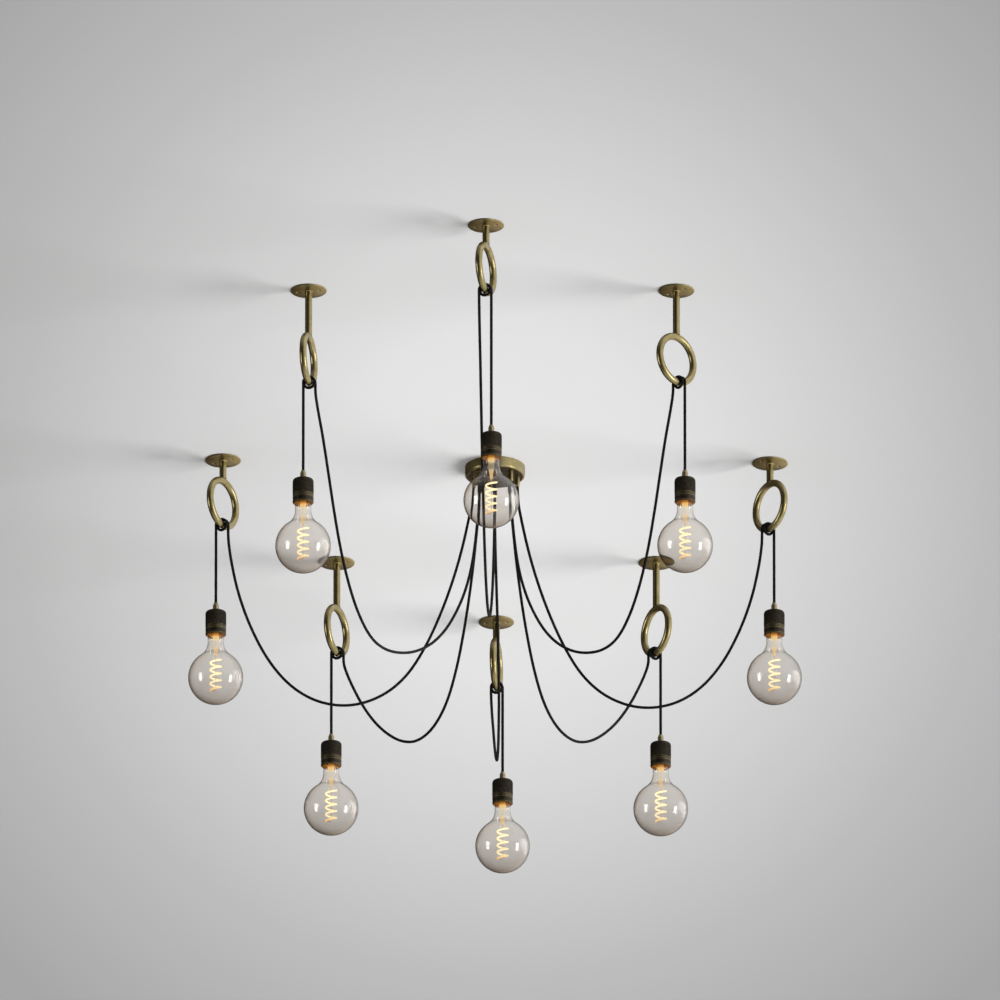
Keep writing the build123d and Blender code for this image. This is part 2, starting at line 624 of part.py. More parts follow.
def coil_direction(turn):
    return (plan(360 * turn + 90, pi * COIL_D) - Vector(0, 0, COIL_H / COIL_TURNS)).normalized()


def filament_coil():
    """The coiled filament, one tube in quarter turns, with a straight end at each arm."""
    quarters = [n / 4 for n in range(COIL_QUARTERS + 1)]
    first = coil_point(0)
    last = coil_point(COIL_TURNS)
    start = first - coil_direction(0) * COIL_WIRE_D
    edges = [Line(start, first)]
    for turn, next_turn in zip(quarters, quarters[1:]):
        edges += arc_pair(
            coil_point(turn), coil_direction(turn), coil_point(next_turn), coil_direction(next_turn))
    edges.append(Line(last, last + coil_direction(COIL_TURNS) * COIL_WIRE_D))
    return tube(edges, start, coil_direction(0), COIL_WIRE_D)


def build():
    os.makedirs("parts", exist_ok=True)
    rings = [hook_ring(hook) for hook in HOOKS]
    save("hook_plates", [hook_plate(hook) for hook in HOOKS])
    save("hook_stems", [hook_stem(hook, ring) for hook, ring in zip(HOOKS, rings)])
    save("hook_rings", rings)
    save("swag_cords", [swag_cord(hook) for hook in HOOKS])

    save("canopy_cover", [canopy_cover()])
    save("ceiling_strap", [ceiling_strap()])
    screw = cover_screw()
    save("canopy_screws", [screw, Rot(0, 0, 180) * screw])
    grip = canopy_grip()
    nut = grip_nut()
    save("canopy_cord_grips", [Pos(place.X, place.Y, 0) * grip for place in grip_places()])
    save("canopy_grip_nuts", [Pos(place.X, place.Y, 0) * nut for place in grip_places()])
    save("junction_block", [junction_block()])
    tail = cord_tail()
    save("cord_tails", [Rot(0, 0, hook.grip) * tail for hook in HOOKS])

    shell_pieces = [holder_grip(), holder_shell(), holder_collar()]
    insert_pieces = [holder_core(), screw_sleeve(), centre_contact()]
    filament_pieces = [bulb_mount(), filament_coil()]
    coil_steps = COIL_QUARTERS * TURN_SAMPLES // 4
    coil_gap = least_gap([coil_point(n / TURN_SAMPLES) for n in range(coil_steps + 1)], COIL_WIRE_D)
    print(f"filament coil: least gap {coil_gap:.2f}")
    glass = bulb_glass()
    cap = bulb_cap()
    for number, hook in enumerate(HOOKS, 1):
        place = Pos(*holder_top(hook))
        save(f"drop_cord_{number}", [drop_cord(hook)])
        save(f"lampholder_shell_{number}", [place * piece for piece in shell_pieces])
        save(f"lampholder_insert_{number}", [place * piece for piece in insert_pieces])
        save(f"bulb_glass_{number}", [place * glass])
        save(f"bulb_cap_{number}", [place * cap])
        save(f"bulb_filament_{number}", [place * piece for piece in filament_pieces])


build()
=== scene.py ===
# %% [markdown]
# # A spider chandelier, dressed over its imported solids
# Eight black cords leave one brass canopy, swag out to hooks in the ceiling, wrap round the hooks' rings
# and drop to lampholders with clear globe bulbs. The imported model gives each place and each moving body,
# and nothing here moves it. This file adds the finer shapes, the finishes, the light and the camera.

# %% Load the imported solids
import math
from collections import namedtuple
from functools import partial, reduce

import bmesh
import bpy
from mathutils import Matrix, Vector


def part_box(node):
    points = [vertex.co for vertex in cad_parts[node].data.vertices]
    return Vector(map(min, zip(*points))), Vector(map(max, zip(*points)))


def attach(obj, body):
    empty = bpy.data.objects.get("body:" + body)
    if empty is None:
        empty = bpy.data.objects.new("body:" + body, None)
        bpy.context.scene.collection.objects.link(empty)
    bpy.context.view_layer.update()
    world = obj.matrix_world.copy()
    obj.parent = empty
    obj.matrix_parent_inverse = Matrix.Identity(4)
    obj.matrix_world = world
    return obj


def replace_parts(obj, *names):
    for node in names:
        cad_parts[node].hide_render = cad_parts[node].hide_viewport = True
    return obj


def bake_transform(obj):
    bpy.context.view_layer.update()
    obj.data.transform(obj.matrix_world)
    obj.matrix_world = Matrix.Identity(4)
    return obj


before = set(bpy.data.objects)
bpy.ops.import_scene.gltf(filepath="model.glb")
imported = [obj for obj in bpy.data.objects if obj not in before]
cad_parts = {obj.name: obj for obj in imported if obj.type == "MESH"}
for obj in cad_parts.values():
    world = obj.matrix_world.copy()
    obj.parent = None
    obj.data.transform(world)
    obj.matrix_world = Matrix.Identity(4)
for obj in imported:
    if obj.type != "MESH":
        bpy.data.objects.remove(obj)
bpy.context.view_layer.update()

MM = 0.001
PENDANTS = 8
scene = bpy.context.scene
numbers = range(1, PENDANTS + 1)

# %% [markdown]
# ## Camera
# The picture is taken from below, looking up at the ceiling at 22 degrees. The globes and the hook plates
# are as large near as far, so the view is almost parallel. A very long lens from far away gives that. An
# orthographic camera would too, but it could not draw back to take in the other sides.

# %% Camera
PIXEL, PICTURE_PIXELS = 2.277 * MM, 1000
TILT = math.radians(22)
CAMERA_DISTANCE, CLIP_START = 100.0, 1.0
AIM = Vector((11.4, 28.1, -69.6)) * MM

look = Vector((0, math.cos(TILT), math.sin(TILT)))
camera = bpy.data.objects.new("camera", bpy.data.cameras.new("camera"))
scene.collection.objects.link(camera)
camera.data.lens = camera.data.sensor_width * CAMERA_DISTANCE / (PICTURE_PIXELS * PIXEL)
camera.data.clip_start = CLIP_START
camera.data.clip_end = 2 * CAMERA_DISTANCE
camera.location = AIM - look * CAMERA_DISTANCE
camera.rotation_euler = look.to_track_quat("-Z", "Y").to_euler()
scene.camera = camera
print("lens", round(camera.data.lens), "mm")

# %% [markdown]
# ## Where the cords run
# Each cord is one fixed length of fabric-covered cable. It leaves a grip under the canopy, hangs in a swag
# that its own weight shapes, climbs to a ring, goes round the tube one and a half times and drops. The
# points are those of the solids, in millimetres: out from the grip and up, and one cord's bow to the right.

# %% Routes of the cords
Hook = namedtuple("Hook", "x y faces hand slide stem swag grip")
HOOKS = [
    Hook(-20, -1448, -17.5, 1, -0.11, 41, "near", 270),
    Hook(-420, -1061, 166.8, 1, -0.15, 103, "front", 225),
    Hook(409, -1061, -44.1, 1, 0.15, 103, "front", 315),
    Hook(-619, -42, 147.8, 1, 0.06, 41, "side", 180),
    Hook(626, -24, 36.1, -1, -0.15, 41, "side", 0),
    Hook(-362, 583, 156.3, 1, -0.07, 103, "back", 135),
    Hook(369, 583, 30.7, -1, -0.15, 103, "back", 45),
    Hook(3, 948, -8.0, 1, 0.15, 41, "far", 90),
]
SWAGS = {
    "near": (1423, [
        (18, -120), (52, -185), (100, -262), (155, -335), (218, -402), (288, -462), (362, -515), (442, -560),
        (527, -596), (618, -620), (712, -632), (806, -626), (897, -604), (982, -567), (1062, -520),
        (1136, -465), (1203, -403), (1264, -340), (1320, -286), (1372, -242), (1408, -213)]),
    "front": (1090, [
        (6, -125), (22, -198), (50, -280), (94, -356), (150, -425), (213, -488), (285, -545), (364, -594),
        (448, -636), (536, -670), (627, -696), (718, -704), (800, -678), (868, -628), (924, -560), (968, -481),
        (1006, -401), (1040, -332), (1068, -288)]),
    "side": (559, [
        (8, -125), (24, -203), (46, -285), (74, -367), (108, -447), (150, -519), (206, -570), (278, -597),
        (352, -590), (416, -553), (468, -490), (508, -410), (536, -328), (551, -255), (557, -213)]),
    "back": (634, [
        (8, -125), (23, -200), (44, -283), (71, -366), (105, -446), (150, -514), (212, -553), (286, -560),
        (358, -536), (426, -494), (490, -441), (547, -379), (592, -318), (618, -278)]),
    "far": (901, [
        (14, -122), (46, -192), (90, -264), (143, -331), (205, -391), (275, -440), (352, -473), (434, -491),
        (518, -487), (598, -463), (670, -422), (735, -369), (793, -309), (842, -257), (879, -220)]),
}
BOWS = {"far": [0, 2, 5, 8, 10, 12, 12, 12, 11, 10, 8, 6, 4, 2, 1]}
CORD_D = 6.5
PLATE_T, RING_R, TUBE_R = 3.0, 54.0, 8.0
GRIP_CIRCLE_R = 51.0
CORD_TOP_Z, GRIP_LEAD_Z = -16.4, -79.0
WRAP_R, WRAP_PITCH, WRAP_TURNS = 12.45, 8.0, 1.5
TURN_POINTS, LAST_POINTS_LEFT_OUT = 16, 2
WRAP_LEAD, WRAP_END_LEAD = 26.0, 3.6


def up(height):
    return Vector((0, 0, height))


def level(angle, length=1.0):
    """A level vector at a plan angle in degrees."""
    return Vector((math.cos(math.radians(angle)), math.sin(math.radians(angle)), 0)) * length


def ring_centre(hook):
    return Vector((hook.x, hook.y, -PLATE_T - hook.stem - RING_R - TUBE_R))


def wrap_point(hook, turn, radius=WRAP_R):
    """Middle of the cord after so many turns round the ring."""
    along = level(hook.faces + 90 * hook.hand)
    drop = RING_R * math.cos(math.asin(hook.slide))
    centre = ring_centre(hook) + along * hook.slide * RING_R - up(drop)
    angle = 2 * math.pi * turn
    across = level(hook.faces, -radius * math.cos(angle)) + up(radius * math.sin(angle))
    return centre + across + along * (WRAP_PITCH * (turn - WRAP_TURNS / 2))


def swag_route(hook):
    """Control points from inside the grip to the end of the wrap, in millimetres."""
    grip = level(hook.grip, GRIP_CIRCLE_R)
    start = wrap_point(hook, 0)
    way = Vector((start.x - grip.x, start.y - grip.y, 0))
    right = Vector((way.y, -way.x, 0)).normalized()
    span, free = SWAGS[hook.swag]
    route = [grip + up(CORD_TOP_Z), grip + up(GRIP_LEAD_Z)]
    bows = BOWS.get(hook.swag, [0] * len(free))
    route += [grip + way * (out / span) + right * bow + up(z) for (out, z), bow in zip(free, bows)]
    route.append(start - up(WRAP_LEAD))
    wide = WRAP_R / math.cos(math.pi / TURN_POINTS)
    last = int(WRAP_TURNS * TURN_POINTS) - LAST_POINTS_LEFT_OUT
    route += [wrap_point(hook, n / TURN_POINTS, wide) for n in range(last + 1)]
    end = wrap_point(hook, WRAP_TURNS)
    return route + [end + up(WRAP_END_LEAD), end]


print("control points", [len(swag_route(hook)) for hook in HOOKS])

# %% [markdown]
# ## One smooth line for each cord
# A NURBS spline takes the route's points as control points and runs past them without corners, as a cord
# does. A spline's own bevel would give the tube too, but no map that follows the braid. So the line is
# read back from the spline, and a tube is built round it with a UV map in turns and metres.

# %% Splines and tubes
SPLINE_ORDER, SPLINE_STEPS = 3, 8
TUBE_SIDES = 14


def new_piece(name, data):
    piece = bpy.data.objects.new(name, data)
    scene.collection.objects.link(piece)
    return piece


def mesh_of(carrier):
    """The plain mesh that an object gives once its curve or its nodes are evaluated."""
    return bpy.data.meshes.new_from_object(carrier.evaluated_get(bpy.context.evaluated_depsgraph_get()))


def finished(name, bm, sharp=None):
    """Turns all faces outwards, splits the shading past an angle and gives the plain mesh."""
    bmesh.ops.recalc_face_normals(bm, faces=bm.faces)
    mesh = bpy.data.meshes.new(name)
    bm.to_mesh(mesh)
    bm.free()
    if sharp:
        mesh.set_sharp_from_angle(angle=math.radians(sharp))
    return mesh


def skin(bm, rings, lengths=None, ends=False):
    """Joins rings of points by smooth faces; with lengths, a UV map counts turns across and lengths along."""
    uv_map = lengths and bm.loops.layers.uv.new("UVMap")
    sides = len(rings[0])
    for k, (upper, lower) in enumerate(zip(rings, rings[1:])):
        for j in range(sides):
            n = (j + 1) % sides
            corners = [(upper[j], j, k), (lower[j], j, k + 1), (lower[n], j + 1, k + 1), (upper[n], j + 1, k)]
            kept = [c for i, c in enumerate(corners) if c[0] not in [d[0] for d in corners[:i]]]
            if len(kept) > 2:
                face = bm.faces.new([corner[0] for corner in kept])
                face.smooth = True
                for loop, (_, across, along) in zip(face.loops, kept if lengths else []):
                    loop[uv_map].uv = (across / sides, lengths[along])
    if ends:
        bm.faces.new(rings[0])
        bm.faces.new(rings[-1][::-1])


def nurbs_line(name, points):
    """Points along a NURBS spline through control points in millimetres, in metres."""
    curve = bpy.data.curves.new(name, "CURVE")
    curve.dimensions = "3D"
    spline = curve.splines.new("NURBS")
    spline.points.add(len(points) - 1)
    for control, point in zip(spline.points, points):
        control.co = (*(point * MM), 1)
    spline.order_u = SPLINE_ORDER
    spline.use_endpoint_u = True
    spline.resolution_u = SPLINE_STEPS
    mesh = mesh_of(new_piece(name, curve))
    line = [vertex.co.copy() for vertex in mesh.vertices]
    bpy.data.curves.remove(curve)
    bpy.data.meshes.remove(mesh)
    return line


def tube_mesh(name, line, radius):
    """A closed tube round a line; its UV map counts turns across and metres along."""
    bm = bmesh.new()
    runs = [(b - a).normalized() for a, b in zip(line, line[1:])]
    ways = [runs[0]] + [(a + b).normalized() for a, b in zip(runs, runs[1:])] + [runs[-1]]
    side = ways[0].orthogonal().normalized()
    angles = [2 * math.pi * j / TUBE_SIDES for j in range(TUBE_SIDES)]
    rings, lengths = [], [0.0]
    for i, (point, way) in enumerate(zip(line, ways)):
        if i:
            side = ways[i - 1].rotation_difference(way) @ side
            lengths.append(lengths[-1] + (point - line[i - 1]).length)
        other = way.cross(side)
        rings.append([
            bm.verts.new(point + (side * math.cos(a) + other * math.sin(a)) * radius) for a in angles])
    skin(bm, rings, lengths, ends=True)
    return finished(name, bm), lengths[-1]


print("tubes of", TUBE_SIDES, "sides")

# %% [markdown]
# ## Swags and drops
# The swag with its wrap stays with the ceiling. The taut drop below it runs straight down into its lampholder
# as a piece of its own. A cut just where the wrap lets the cord go can't be seen.

# %% Cords
BEND_L, DROP_POINTS = 45.0, 9
CORE_BELOW_TOP, HOLDER_GRIP_H, EXIT_Z = 8.0, 21.0, -30.0


def holder_place(n):
    """Middle of the top of a lampholder's shell, in millimetres."""
    low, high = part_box(f"lampholder_shell_{n}")
    middle = (low + high) / 2
    return Vector((middle.x, middle.y, high.z)) / MM - up(HOLDER_GRIP_H)


cords = []
for n, hook in zip(numbers, HOOKS):
    line = nurbs_line(f"swag_line_{n}", swag_route(hook))
    mesh, length = tube_mesh(f"swag_{n}", line, CORD_D / 2 * MM)
    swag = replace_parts(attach(new_piece(f"swag_{n}", mesh), "root"), "swag_cords")
    top = wrap_point(hook, WRAP_TURNS)
    bottom = holder_place(n) - up(CORE_BELOW_TOP)
    stops = [top.lerp(bottom, k / (DROP_POINTS - 1)) for k in range(DROP_POINTS)]
    line = nurbs_line(f"drop_line_{n}", stops)
    mesh, drop_length = tube_mesh(f"drop_{n}", line, CORD_D / 2 * MM)
    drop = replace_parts(new_piece(f"drop_{n}", mesh), f"drop_cord_{n}")
    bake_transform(drop)
    cords += [swag, drop]

# %% [markdown]
# ## Small helpers for shader nodes
# Every finish is a tree of nodes. Helpers that add a node, set its values and link its inputs keep each tree
# short enough to read. The last shader always stays in the material, where the export reads it.

# %% Helpers for node trees
COLOUR, NUMBER, VECTOR = "NodeSocketColor", "NodeSocketFloat", "NodeSocketVector"


def is_socket(value):
    return isinstance(value, bpy.types.NodeSocket)


def feed(node, inputs):
    """Links an input that is given as a socket, and sets any other value."""
    for name, value in inputs.items():
        if is_socket(value):
            node.id_data.links.new(value, node.inputs[name])
        else:
            node.inputs[name].default_value = value


def add(tree, kind, inputs=None, **settings):
    """Adds a node with its settings and inputs."""
    node = tree.nodes.new(kind)
    for name, value in settings.items():
        setattr(node, name, value)
    feed(node, inputs or {})
    return node


def join(kind, inputs, **settings):
    """Adds a node to the tree of its first linked input; returns its outputs."""
    return add(next(filter(is_socket, inputs.values())).id_data, kind, inputs, **settings).outputs


def calc(operation, a, b=0.0):
    return join("ShaderNodeMath", {0: a, 1: b}, operation=operation)[0]


def times(*values):
    return reduce(partial(calc, "MULTIPLY"), values)


def plus(*values):
    return reduce(partial(calc, "ADD"), values)


def vector_node(operation, *values, output="Vector"):
    return join("ShaderNodeVectorMath", dict(enumerate(values)), operation=operation)[output]


def map_range(value, low, high, start=0.0, end=1.0, **settings):
    return join("ShaderNodeMapRange", {
        "Value": value, "From Min": low, "From Max": high, "To Min": start, "To Max": end}, **settings)["Result"]


def blend_colours(share, a, b, **settings):
    return join("ShaderNodeMix", {0: share, 6: a, 7: b}, data_type="RGBA", **settings)[2]


def mixed(share, first, second):
    return join("ShaderNodeMixShader", {0: share, 1: first, 2: second})["Shader"]


def ramp(share, stops):
    """A colour ramp over (position, colour) stops; a plain number is a grey."""
    colours = join("ShaderNodeValToRGB", {"Fac": share})["Color"]
    elements = colours.node.color_ramp.elements
    while len(elements) < len(stops):
        elements.new(1.0)
    for element, (position, colour) in zip(elements, stops):
        element.position = position
        element.color = (*(colour if isinstance(colour, tuple) else (colour,) * 3), 1)
    return colours


def attribute(tree, name, output="Fac"):
    return add(tree, "ShaderNodeAttribute", attribute_name=name).outputs[output]


def object_place(tree):
    return add(tree, "ShaderNodeTexCoord").outputs["Object"]


def uv_parts(tree):
    """The mesh's own UV map, as X and Y outputs."""
    place = add(tree, "ShaderNodeUVMap", uv_map="UVMap").outputs["UV"]
    return join("ShaderNodeSeparateXYZ", {"Vector": place})


def noise(place, scale, detail, **inputs):
    return join("ShaderNodeTexNoise", {"Vector": place, "Scale": scale, "Detail": detail, **inputs})["Fac"]


def set_bump(shader, height, strength, depth):
    """Bends a shader's normal by a height; the depth is in metres."""
    bump = join("ShaderNodeBump", {"Strength": strength, "Distance": depth, "Height": height})
    feed(shader, {"Normal": bump["Normal"]})


def new_material(name, inputs=None):
    """A material with one Principled shader; returns it, its tree and the shader."""
    material = bpy.data.materials.new(name)
    material.use_nodes = True
    tree = material.node_tree
    tree.nodes.clear()
    shader = add(tree, "ShaderNodeBsdfPrincipled", inputs)
    add(tree, "ShaderNodeOutputMaterial", {"Surface": shader.outputs["BSDF"]})
    return material, tree, shader


def mix_surface(share, first, second):
    """Puts a mix of two shaders in the place of a material's only one."""
    output = first.id_data.nodes["Material Output"]
    feed(output, {"Surface": mixed(share, first.outputs["BSDF"], second.outputs["BSDF"])})


def new_group(kind, name, inputs, outputs):
    """A node group with named sockets; returns its tree, inputs and output node."""
    tree = bpy.data.node_groups.new(name, kind)
    for side, sockets in (("INPUT", inputs), ("OUTPUT", outputs)):
        for label, socket_type in sockets.items():
            tree.interface.new_socket(label, in_out=side, socket_type=socket_type)
    return tree, add(tree, "NodeGroupInput").outputs, add(tree, "NodeGroupOutput")


print("helpers ready")

# %% [markdown]
# ## Braided fabric
# The cable's jacket is a tube braid of black yarn: two sets of strands wind opposite ways and pass over and
# under each other. Real strands would need a hundred thousand faces for each cord. A height map on the
# tube's own UV map gives the same weave to the light.

# %% Finish of the cords
STRANDS, STRAND_LAY = 12, 0.030
FLUFF_SCALE, FLUFF_SHARE = 900.0, 0.25
YARN_TONES_SHADED_IN_HOLLOWS = [(0.2, (0.001, 0.001, 0.001)), (0.95, (0.010, 0.0095, 0.009))]
YARN_ROUGH, YARN_WORN = 0.95, 0.25
BRAID_STRENGTH, BRAID_DEPTH = 0.6, 0.6

cord_fabric, tree, shader = new_material("cord_fabric", {"Specular IOR Level": 0.15})
parts = uv_parts(tree)
around = times(parts["X"], float(STRANDS))
along = times(parts["Y"], STRANDS / STRAND_LAY)
heights = []
for operation in ("ADD", "SUBTRACT"):
    wave = calc("SINE", times(calc(operation, around, along), math.pi))
    heights.append(calc("ABSOLUTE", wave))
over = times(calc("MAXIMUM", *heights), 1 - FLUFF_SHARE)
yarn = plus(over, times(noise(object_place(tree), FLUFF_SCALE, 2.0), FLUFF_SHARE))
# the yarn's colour follows the braid's height: darker in the hollows between strands as painted shade, and varied at
# random by the fluff
feed(shader, {
    "Base Color": ramp(yarn, YARN_TONES_SHADED_IN_HOLLOWS),
    "Roughness": calc("SUBTRACT", YARN_ROUGH, times(yarn, YARN_WORN))})
set_bump(shader, yarn, BRAID_STRENGTH, BRAID_DEPTH * MM)
for cord in cords:
    cord.data.materials.append(cord_fabric)
print("cords dressed", len(cords))

# %% [markdown]
# ## Patina and hairlines
# Brass and bronze on the lamp are chemically aged: cloudy patches, darker in some places, with fine
# hairlines from brushing. Several finishes need both, so each effect is a group with its own inputs, built
# once. A group gives only colours or values, and each material decides where they go.

# %% Shared effects
FINE_CLOUDS, FINE_SHARE = 7.0, 0.3
CLOUDS_FROM, CLOUDS_TO = 0.32, 0.68
LINE_STRENGTH = 0.35

patina, given, result = new_group(
    "ShaderNodeTree", "patina",
    {"Vector": VECTOR, "Patches": NUMBER, "Bright": COLOUR, "Middle": COLOUR, "Dark": COLOUR},
    {"Colour": COLOUR, "Clouds": NUMBER})
large = noise(given["Vector"], given["Patches"], 5.0, Roughness=0.62)
small = noise(given["Vector"], times(given["Patches"], FINE_CLOUDS), 3.0)
clouds = plus(times(large, 1 - FINE_SHARE), times(small, FINE_SHARE))
spread = map_range(clouds, CLOUDS_FROM, CLOUDS_TO)
low_half = map_range(spread, 0.0, 0.5)
high_half = map_range(spread, 0.5, 1.0)
dark_side = blend_colours(low_half, given["Dark"], given["Middle"])
feed(result, {"Colour": blend_colours(high_half, dark_side, given["Bright"]), "Clouds": spread})

hairlines, given, result = new_group(
    "ShaderNodeTree", "hairlines", {"Vector": VECTOR, "Stretch": VECTOR}, {"Lines": NUMBER})
drawn = vector_node("MULTIPLY", given["Vector"], given["Stretch"])
feed(result, {"Lines": noise(drawn, 1.0, 3.0)})
print("groups", patina.name, hairlines.name)


def aged_metal(name, patches, colours, roughness, stretch, line_depth):
    """A metal finish from the two groups; returns its material, tree, shader and colour socket."""
    material, tree, shader = new_material(name, {"Metallic": 1.0})
    place = object_place(tree)
    bright, middle, dark = [(*colour, 1) for colour in colours]
    clouds = join("ShaderNodeGroup", {
        "Vector": place, "Patches": patches, "Bright": bright, "Middle": middle, "Dark": dark}, node_tree=patina)
    brushed = join("ShaderNodeGroup", {"Vector": place, "Stretch": stretch}, node_tree=hairlines)
    low, high = roughness
    feed(shader, {
        "Base Color": clouds["Colour"],
        "Roughness": map_range(clouds["Clouds"], 0.0, 1.0, high, low)})
    set_bump(shader, brushed["Lines"], LINE_STRENGTH, line_depth * MM)
    return material, tree, shader, clouds["Colour"]


# %% [markdown]
# ## Metals
# Hooks and canopy are aged satin brass, olive in its shadows, and painted shade colours the canopy's recessed
# floor nearly black. The lampholders are dark bronze, rubbed through to brass on the raised beads, which also
# paints highlights there, and the bulb's warm light is painted into their mouths as a glow. A value for rubbing,
# painted shade and painted highlight, and a glow value for painted light, on the mesh's own points say where, so
# the pattern stays on the edge that it belongs to.

# %% Metal finishes
BRASS = [(0.42, 0.355, 0.19), (0.34, 0.283, 0.133), (0.25, 0.203, 0.086)]
BRASS_FINISH = dict(
    patches=55.0, colours=BRASS, roughness=(0.235, 0.325), stretch=(900.0, 900.0, 90.0), line_depth=0.004)
BRONZE = [(0.075, 0.066, 0.048), (0.050, 0.043, 0.032), (0.028, 0.024, 0.018)]
GRIP_BRASS = [(0.48, 0.41, 0.25), (0.36, 0.30, 0.17), (0.20, 0.16, 0.09)]
CAP_BRASS = [(0.66, 0.55, 0.33), (0.55, 0.44, 0.25), (0.42, 0.32, 0.17)]
ZINC = [(0.66, 0.66, 0.64), (0.57, 0.57, 0.55), (0.46, 0.46, 0.45)]
# painted shade: the canopy's recessed floor is coloured nearly black and not metallic where its points carry 1
FLOOR_PAINTED_SHADE = (0.030, 0.022, 0.012, 1)
# rubbed brass on the beads and rims, partly a painted highlight
RUBBED_BRASS_AND_HIGHLIGHT = (0.40, 0.33, 0.17, 1)
# painted light: the collar's inner wall emits the bulb's warm light
MOUTH_PAINTED_LIGHT, MOUTH_PAINTED_LIGHT_STRENGTH = (1.0, 0.36, 0.05, 1), 0.25
NO_PAINTED_LIGHT = (0, 0, 0, 1)
WORN_SCALE, WORN_BASE, WORN_FROM, WORN_TO = 420.0, 0.45, 0.35, 1.5

aged_brass, tree, shader, brass_colour = aged_metal("aged_brass", **BRASS_FINISH)
floor_painted_shade = attribute(tree, "rub_and_painted_light")
feed(shader, {
    "Base Color": blend_colours(floor_painted_shade, brass_colour, FLOOR_PAINTED_SHADE),
    "Metallic": calc("SUBTRACT", 1.0, floor_painted_shade), "Specular IOR Level": 0.12})
grip_brass = aged_metal("grip_brass", 180.0, GRIP_BRASS, (0.28, 0.45), (1200.0, 1200.0, 300.0), 0.01)[0]
cap_brass = aged_metal("cap_brass", 120.0, CAP_BRASS, (0.22, 0.34), (300.0, 300.0, 2500.0), 0.03)[0]
zinc_steel = aged_metal("zinc_steel", 220.0, ZINC, (0.30, 0.46), (500.0, 500.0, 2000.0), 0.03)[0]

dark_bronze, tree, shader, bronze_colour = aged_metal(
    "dark_bronze", 160.0, BRONZE, (0.38, 0.56), (300.0, 300.0, 3000.0), 0.05)
worn = plus(noise(object_place(tree), WORN_SCALE, 3.0), WORN_BASE)
rub_and_highlight_mask = map_range(times(attribute(tree, "rub_and_painted_light"), worn), WORN_FROM, WORN_TO)
feed(shader, {
    "Base Color": blend_colours(rub_and_highlight_mask, bronze_colour, RUBBED_BRASS_AND_HIGHLIGHT),
    "Emission Color": blend_colours(attribute(tree, "glow"), NO_PAINTED_LIGHT, MOUTH_PAINTED_LIGHT),
    "Emission Strength": MOUTH_PAINTED_LIGHT_STRENGTH})
print("metals", [m.name for m in (aged_brass, grip_brass, cap_brass, zinc_steel, dark_bronze)])

# %% [markdown]
# ## Glass
# The globe is clear blown glass with a faint warm grey tint, clearer at the neck, and painted shade darkens it
# towards the bottom. It looks darkest where the eye runs along its wall, at the rim, and Layer Weight gives that.
# The mesh's glow value marks the neck and its other value the painted shade at the bottom. Light passes through
# to what is behind, so for shadow rays the glass is plainly see-through.

# %% Glass
GLASS_TINTS = [
    (0.0, (0.955, 0.932, 0.902)), (0.35, (0.935, 0.904, 0.868)), (0.52, (0.885, 0.838, 0.792)),
    (0.69, (0.735, 0.677, 0.628)), (0.85, (0.47, 0.416, 0.368)), (1.0, (0.25, 0.21, 0.175))]
NECK_TINT, NECK_SHARE = (0.97, 0.94, 0.90, 1), 0.85
WHITE, BOTTOM_PAINTED_SHADE = (1, 1, 1, 1), (0.70, 0.68, 0.66, 1)
SHADOW_TINT = (0.94, 0.93, 0.92, 1)
GLASS_IOR = 1.45

glass_wall, tree, shader = new_material("bulb_glass", {
    "Roughness": 0.0, "IOR": GLASS_IOR, "Transmission Weight": 1.0})
facing = add(tree, "ShaderNodeLayerWeight").outputs["Facing"]
clearer = times(attribute(tree, "glow"), NECK_SHARE)
tint = blend_colours(clearer, ramp(facing, GLASS_TINTS), NECK_TINT)
# painted shade: the glass tint darkens towards the bottom of the globe
bottom_painted_shade = blend_colours(attribute(tree, "rub_and_painted_light"), WHITE, BOTTOM_PAINTED_SHADE)
feed(shader, {"Base Color": blend_colours(1.0, tint, bottom_painted_shade, blend_type="MULTIPLY")})
clear = add(tree, "ShaderNodeBsdfTransparent", {"Color": SHADOW_TINT})
mix_surface(add(tree, "ShaderNodeLightPath").outputs["Is Shadow Ray"], shader, clear)
print("glass ready")

# %% [markdown]
# ## Glow, and the plain inner pieces
# The filament glows by itself, warmer at its lower end, and painted shade darkens its glow towards its edges. The
# glass stem that carries it has a painted amber glow where light gathers, and is nearly clear between, so its
# colour and its alpha follow the map down its outline. The lampholder's ceramic is painted dark as shade and glows
# faintly with painted light from the bulb. A lamp for each bulb would cost far more time.

# %% Glow, ceramic and plastic
LIT, LIT_END, LIT_EDGE_PAINTED_SHADE = (1.0, 0.86, 0.55, 1), (0.84, 0.46, 0.13, 1), (0.70, 0.49, 0.21, 1)
EDGE_SHADE_SHARE = 0.75
# painted light: glow colours of the glass stem, down its outline
STEM_PAINTED_GLOW = [
    (0.062, (0.16, 0.05, 0.003)), (0.079, (0.45, 0.18, 0.015)), (0.092, (0.92, 0.55, 0.14)),
    (0.105, (0.98, 0.78, 0.40)), (0.12, (0.75, 0.66, 0.44)), (0.162, (0.66, 0.58, 0.40)),
    (0.188, (0.95, 0.68, 0.33)), (0.23, (0.84, 0.60, 0.30)), (0.257, (0.50, 0.38, 0.22))]
VEILS = [
    (0.062, 0.95), (0.092, 0.85), (0.105, 0.6), (0.12, 0.15), (0.162, 0.15), (0.188, 0.65), (0.23, 0.6),
    (0.257, 0.2)]
